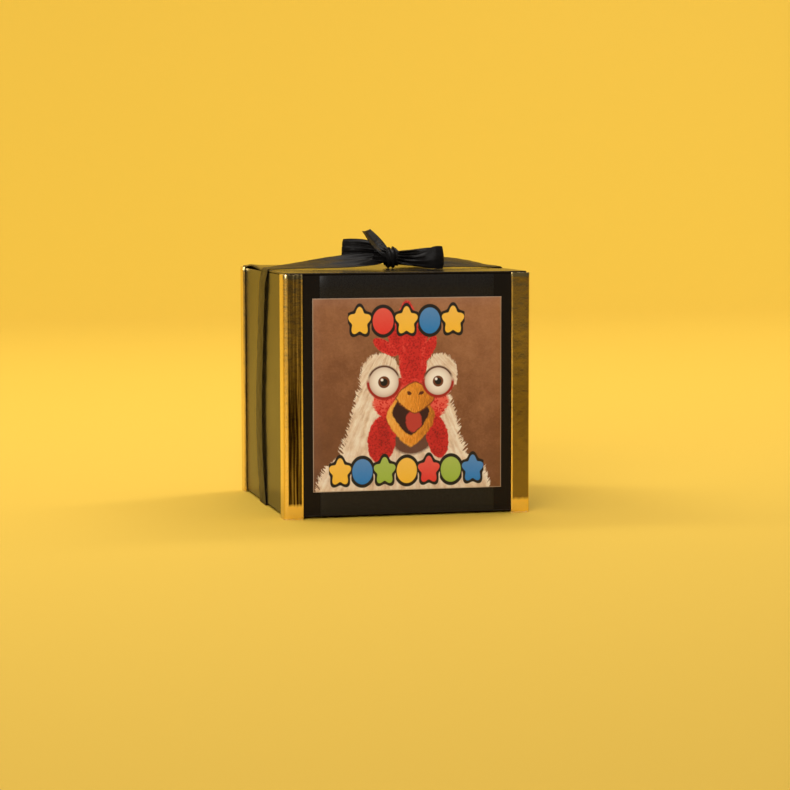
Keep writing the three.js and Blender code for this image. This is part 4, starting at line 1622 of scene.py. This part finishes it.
    def _knot_track(self) -> list[Row]:
        """Once round the crossing, with the ends lapped at the back."""
        x, y, z = self.knot
        rows = []
        for degrees in np.linspace(-50, 318, 25):
            a = math.radians(degrees)
            swell = 0.5 * math.cos(2 * a + 0.6)
            rows.append((x - 0.12 * math.sin(a) * 6, y + self.knot_radii[0] * math.cos(a),
                         z + self.knot_radii[1] * math.sin(a), 9.2 + swell, 1, 0.05, 0.28,
                         -1.3, 0.75))
        return rows


@dataclass
class PopMechanism:
    """Spring board, stapled cone spring, lift platform and squeaker."""

    bottom_radius: float = 50.0
    top_radius: float = 24.0
    coil_bottom: float = 7.85
    rest_length: float = 15.6
    active_turns: int = 5
    wire_radius: float = 0.9
    end_shift: float = 4.0

    def build(self, board: bpy.types.Material, steel: bpy.types.Material, plastic: bpy.types.Material,
              reed: bpy.types.Material) -> None:
        """Makes the mechanism.

        Args:
            board: The spring board's finish.
            steel: The wire's and the staples' finish.
            plastic: The platform's and the squeaker's finish.
            reed: The reed's finish.
        """
        parts = [("spring_board", "sprung_base", board, "grey_board", Body.BOX, 0.4),
                 ("lift_platform", "lift_disc", plastic, "platform_plastic", Body.ROOSTER, 0.5),
                 ("squeaker_body", "squeaker_cup", plastic, "squeaker_plastic", Body.ROOSTER, 0.3),
                 ("squeaker_reed", "squeaker_disc", reed, "squeaker_reed", Body.ROOSTER, 0.1)]
        parts += [(f"base_staple_{i}", f"board_staple_{i}", steel, "staple_steel", Body.BOX, 0.25)
                  for i in (1, 2, 3)]
        parts += [(f"platform_staple_{i}", f"disc_staple_{i}", steel, "staple_steel", Body.ROOSTER, 0.25)
                  for i in (1, 2, 3)]
        rounded_copies(parts)
        self._spring(steel)

    def _spring(self, steel: bpy.types.Material) -> None:
        """Winds the spring at its rest length.

        Stretched as the platform rises, its wire stretches as well, so it stands up as a band when the box is
        open.

        Args:
            steel: The wire's finish.
        """
        turns = self.active_turns + 2
        turn = np.linspace(0, turns, 64 * turns + 1)
        share = np.clip((turn - 1) / self.active_turns, 0, 1)
        radius = self.bottom_radius + (self.top_radius - self.bottom_radius) * share
        radius += np.where(turn < 1, self.end_shift * (1 - turn), 0)
        radius -= np.where(turn > turns - 1, self.end_shift * (turn - turns + 1), 0)
        angle = 2 * math.pi * turn
        line = np.column_stack([radius * np.cos(angle), radius * np.sin(angle),
                                self.coil_bottom + self.rest_length * share])
        piece = dress(tube("cone_spring", line, self.wire_radius, 12), steel)
        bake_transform(piece)
        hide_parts("pop_spring")
        log.info("%s stretches between %s and %s", piece.name, Body.BOX.value, Body.ROOSTER.value)


@dataclass
class Rooster:
    """The hollow rubber bust, with its comb, beak, eyes, brows and wattles moulded on."""

    foot: float = 28.2
    outline: Sequence[tuple[float, float]] = (
        (36.0, 0), (36.5, 3), (36.5, 7), (35.2, 13), (33.2, 20), (30.5, 27), (28.0, 34), (25.8, 41),
        (24.0, 48),
        (22.8, 55), (22.4, 61), (23.2, 68), (24.4, 75), (24.9, 81), (24.2, 87), (22.4, 92), (19.5, 96.5),
        (15.5, 100.4), (10.5, 103.4), (5.0, 104.8))
    feather_rows: float = 8.2
    feather_depth: float = 2.0
    comb_tips: Sequence[tuple[float, float]] = (
        (-15.5, 5.0), (-8.5, 10.5), (-1, 13.6), (7, 11.2), (13.5, 6.0))

    def build(self, white: bpy.types.Material, red: bpy.types.Material, horn: bpy.types.Material,
              inside: bpy.types.Material) -> None:
        """Makes the figure.

        Args:
            white: The feathers' rubber.
            red: The skin's rubber.
            horn: The beak's rubber.
            inside: The mouth's rubber.
        """
        bust = self._bust()
        mount(dress(bust, white), Body.ROOSTER, "figure_rubber", "rooster_body")
        for name, piece, finish in (
                ("rooster_comb", self._comb(), red), ("rooster_face", self._face(), red),
                ("rooster_wattles", self._wattles(), red), ("rooster_beak_upper", self._beak(True), horn),
                ("rooster_beak_lower", self._beak(False), horn), ("rooster_tongue", self._tongue(), inside)):
            piece.name = piece.data.name = name
            mount(dress(piece, finish), Body.ROOSTER, "figure_rubber")
        for side, sign in (("left", -1), ("right", 1)):
            eye = self._ball(f"rooster_eye_{side}", (12.6 * sign, -20.6, self.foot + 87.5), (7.5, 6.0, 7.6))
            smooth(eye)
            finish = PaintedEye(f"painted_eye_{side}", (12.8 * sign, self.foot + 87.3)).build()
            mount(dress(eye, finish), Body.ROOSTER, "figure_rubber")

    def _bust(self) -> bpy.types.Object:
        """Raises rings from the foot to the crown, thickens them, then raises the feathers."""
        first = self.outline[0][0]
        piece = primitive("circle", "rooster_bust", vertices=120, radius=first * MM,
                          location=(0, 0, self.foot * MM), fill_type="NOTHING")
        settle(piece)
        pick(piece)
        bpy.ops.object.mode_set(mode="EDIT")
        bpy.ops.mesh.select_all(action="SELECT")
        previous = (first, 0.0)
        for radius, height in self.outline[1:]:
            bpy.ops.mesh.extrude_region_move(
                TRANSFORM_OT_translate={"value": (0, 0, (height - previous[1]) * MM)})
            scale = radius / previous[0]
            bpy.ops.transform.resize(value=(scale, scale, 1),
                                     center_override=(0, 0, (self.foot + height) * MM))
            previous = (radius, height)
        bpy.ops.mesh.fill()
        bpy.ops.mesh.select_all(action="SELECT")
        bpy.ops.mesh.normals_make_consistent(inside=False)
        bpy.ops.object.mode_set(mode="OBJECT")
        modify(piece, "SUBSURF", levels=2, render_levels=2)
        move_points(piece, self._feathered(points_of(piece)))
        modify(piece, "SOLIDIFY", thickness=2.2 * MM, offset=-1.0)
        smooth(piece, 70)
        return piece

    def _feathered(self, points: np.ndarray) -> np.ndarray:
        """Raises overlapping pointed feathers on the neck.

        Args:
            points: The bust's vertices.

        Returns:
            The vertices in their new places.
        """
        height = points[:, 2] - self.foot
        turn = np.arctan2(points[:, 1], points[:, 0])
        around = np.hypot(points[:, 0], points[:, 1])
        relief = np.zeros(len(points))
        for layer, count in ((0.0, 17), (0.5, 17)):
            level = height / self.feather_rows + layer
            row = np.floor(level)
            for shift in (0, 1):
                k = row + shift
                beside = (turn / (2 * math.pi) * count + 0.5 * (k % 2) + 0.25 * layer) % 1.0 - 0.5
                below_tip = level - k + 1.0
                width = 0.5 * np.clip(below_tip / 0.75, 0, 1) ** 0.6
                inside = np.clip(1 - (np.abs(beside) / np.maximum(width, 1e-3)) ** 2.4, 0, 1)
                taper = np.clip(1.25 - below_tip * 0.75, 0, 1)
                quill = 0.22 * np.exp(-(beside / 0.045) ** 2)
                relief = np.maximum(relief, inside ** 0.5 * taper * (1 + quill))
        fade = np.clip((height - 3) / 4, 0, 1) * np.clip((96 - height) / 14, 0, 1)
        face = np.clip((height - 58) / 8, 0, 1) * np.clip((-points[:, 1] - 2) / 8, 0, 1)
        barbs = 0.10 * np.sin(turn * 240 + height * 0.8)
        lift = (relief + barbs * relief) * self.feather_depth * fade * (1 - face)
        lift += 0.25 * waves(points, 26.0, 71) * fade
        scale = 1 + (lift - 0.4 * fade) / np.maximum(around, 4)
        out = points.copy()
        out[:, :2] *= scale[:, None]
        return out

    def _ball(self, name: str, centre: Colour, radii: Colour, turn: float = 0.0,
              fine: int = 40) -> bpy.types.Object:
        """A stretched sphere, tipped about the x axis.

        Args:
            name: Its name.
            centre: Its centre in millimetres.
            radii: Its radii.
            turn: Its tip in degrees.
            fine: How many segments it has.

        Returns:
            The sphere.
        """
        piece = primitive("uv_sphere", name, segments=fine, ring_count=fine // 2, radius=MM,
                          location=[c * MM for c in centre], rotation=(math.radians(turn), 0, 0), scale=radii)
        settle(piece)
        return piece

    def _cast(self, name: str, parts: Sequence[bpy.types.Object], voxel: float,
              rounds: int) -> bpy.types.Object:
        """Melts overlapping parts into one rubbery body.

        Args:
            name: The body's name.
            parts: Its parts.
            voxel: The remesh's voxel, in millimetres.
            rounds: How many times it is smoothed.

        Returns:
            The body.
        """
        pick(*parts)
        bpy.ops.object.join()
        piece = bpy.context.object
        piece.name = piece.data.name = name
        modify(piece, "REMESH", mode="VOXEL", voxel_size=voxel * MM)
        modify(piece, "SMOOTH", iterations=rounds, factor=0.5)
        return piece

    def _comb(self) -> bpy.types.Object:
        """Five thick points on a base that follows the crown."""
        parts = [self._ball("comb_base", (0, -1, self.foot + 101.5), (3.6, 18.5, 5.0))]
        for y, top in self.comb_tips:
            tip = self.foot + 103.5 + top
            parts.append(self._ball("comb_lobe", (0, y, (tip + self.foot + 100) / 2 - 1.0),
                                    (2.9, 4.1, (tip - self.foot - 100) / 2 + 1.0), turn=-y * 1.1))
        piece = self._cast("rooster_comb", parts, 0.7, 3)
        points = points_of(piece)
        raised = np.clip((points[:, 2] - self.foot - 100) / 8, 0, 1)
        points[:, 0] += 0.35 * waves(points[:, 1:], 7.0, 81) * raised
        move_points(piece, points)
        smooth(piece, 80)
        return piece

    def _face(self) -> bpy.types.Object:
        """Red cheeks and brows round the eyes."""
        parts = []
        for sign in (-1, 1):
            parts.append(self._ball("cheek", (11.5 * sign, -15.8, self.foot + 81), (10.5, 9.0, 11.0)))
            parts.append(self._ball("brow", (12.0 * sign, -18.0, self.foot + 90.5), (8.0, 5.6, 6.2)))
        parts.append(self._ball("bridge", (0, -15.5, self.foot + 86), (10.5, 8.6, 9.5)))
        parts.append(self._ball("chin", (0, -16.0, self.foot + 68), (10.5, 7.4, 8.0)))
        piece = self._cast("rooster_face", parts, 0.8, 6)
        points = points_of(piece)
        centre = np.array([0, 0, self.foot + 80])
        away = points - centre
        away /= np.linalg.norm(away, axis=1)[:, None]
        points += away * (0.22 * waves(points, 4.2, 83))[:, None]
        move_points(piece, points)
        smooth(piece, 80)
        return piece

    def _wattles(self) -> bpy.types.Object:
        """Two hanging lobes under the beak."""
        parts = []
        for sign in (-1, 1):
            parts.append(self._ball("wattle", (8.6 * sign, -24.3, self.foot + 55), (6.4, 3.9, 12.4), turn=-7))
            parts.append(self._ball("wattle_root", (6.6 * sign, -21.6, self.foot + 66), (5.0, 4.2, 7.0),
                                    turn=-12))
        piece = self._cast("rooster_wattles", parts, 0.7, 4)
        points = points_of(piece)
        points[:, 1] += 0.35 * waves(points * (1, 0.3, 0.5), 6.0, 87)
        move_points(piece, points)
        smooth(piece, 80)
        return piece

    def _beak(self, upper: bool) -> bpy.types.Object:
        """Half of the beak: hooked above, shorter and scooped below.

        Args:
            upper: Whether it is the upper half.

        Returns:
            The half.
        """
        length, width, depth = (27.5, 10.2, 7.6) if upper else (20.5, 8.8, 5.2)
        base = self.foot + (82.0 if upper else 71.5)
        piece = self._ball("beak", (0, 0, 0), (1, 1, 1), fine=56)
        points = points_of(piece)
        share = (1 - points[:, 1]) / 2
        girth = np.clip(1 - share ** 1.5, 0, 1) ** 0.72
        ring = np.maximum(np.hypot(points[:, 0], points[:, 2]), 1e-6)
        across, up = points[:, 0] / ring, points[:, 2] / ring
        hidden = np.clip(share / 0.06, 0, 1)
        flat = np.where(up < 0, 0.42, 1.0) if upper else np.where(up > 0, 0.35, 1.0)
        droop = (-9.5 * share ** 2.6) if upper else (-7.5 * share ** 1.7)
        ridge = 0.10 * np.exp(-(across / 0.22) ** 2) * (up > 0) * upper
        points = np.column_stack([across * width * girth * hidden,
                                  -15.5 - share * length,
                                  base + up * depth * flat * girth * hidden * (1 + ridge) + droop])
        points[:, 2] += 0.10 * waves(points * (1, 0.25, 1), 3.0, 91 + upper) * girth
        move_points(piece, points)
        smooth(piece, 80)
        return piece

    def _tongue(self) -> bpy.types.Object:
        """A small tongue between the halves."""
        piece = self._ball("tongue", (0, 0, 0), (4.2, 9.0, 1.6))
        points = points_of(piece)
        points[:, 2] += 0.02 * points[:, 1] ** 2 - 0.5 * np.exp(-(points[:, 0] / 0.9) ** 2)
        points += (0, -21.5, self.foot + 74.6)
        move_points(piece, points)
        smooth(piece, 80)
        return piece


def main() -> None:
    """Builds the box, its ribbon and what springs out of it."""
    logging.basicConfig(level=logging.INFO, format="%(name)s: %(message)s")
    Studio().build()
    laminate = BlackLaminate().build()
    lining = BlackLaminate("black_lining", gloss=0.45).build()
    foil, film, print_ = GoldFoil().build(), LabelFilm().build(), PrintedPicture().build()
    satin, cloth, chip = SatinRibbon().build(), BookCloth().build(), GreyBoard().build()
    wire = BareMetal("spring_wire", (0.52, 0.53, 0.54), 0.24).build()
    nickel = BareMetal("nickel", (0.66, 0.62, 0.55), 0.16).build()
    zinc = BareMetal("zinc_plate", (0.50, 0.51, 0.53), 0.34).build()
    plastic = MouldedPlastic("moulded_plastic", (0.62, 0.58, 0.47)).build()
    reed = BareMetal("reed_brass", (0.78, 0.60, 0.30), 0.3).build()
    BoardBox().build(laminate)
    CornerTrims().build(foil)
    FrontFace().build(film, print_)
    Hinge().build(cloth)
    Closure().build(chip, nickel, zinc)
    Lid().build(laminate, lining)
    BoxRibbon().build(satin)
    LidRibbon().build(satin)
    PopMechanism().build(chip, wire, plastic, reed)
    # Each rubber's second colour is the painted shade in the pits of its skin.
    white = Rubber("cream_rubber", (0.80, 0.74, 0.62), (0.66, 0.57, 0.43), pebble=0.5, depth=0.06).build()
    red = Rubber("red_rubber", (0.60, 0.030, 0.020), (0.30, 0.010, 0.008), pebble=0.75, depth=0.22).build()
    horn = Rubber("horn_rubber", (0.85, 0.36, 0.035), (0.62, 0.20, 0.015), pebble=0.35, depth=0.05,
                  gloss=0.3).build()
    mouth = Rubber("mouth_rubber", (0.42, 0.03, 0.03), (0.25, 0.01, 0.01), pebble=0.9, depth=0.1).build()
    Rooster().build(white, red, horn, mouth)


if __name__ == "__main__":
    main()
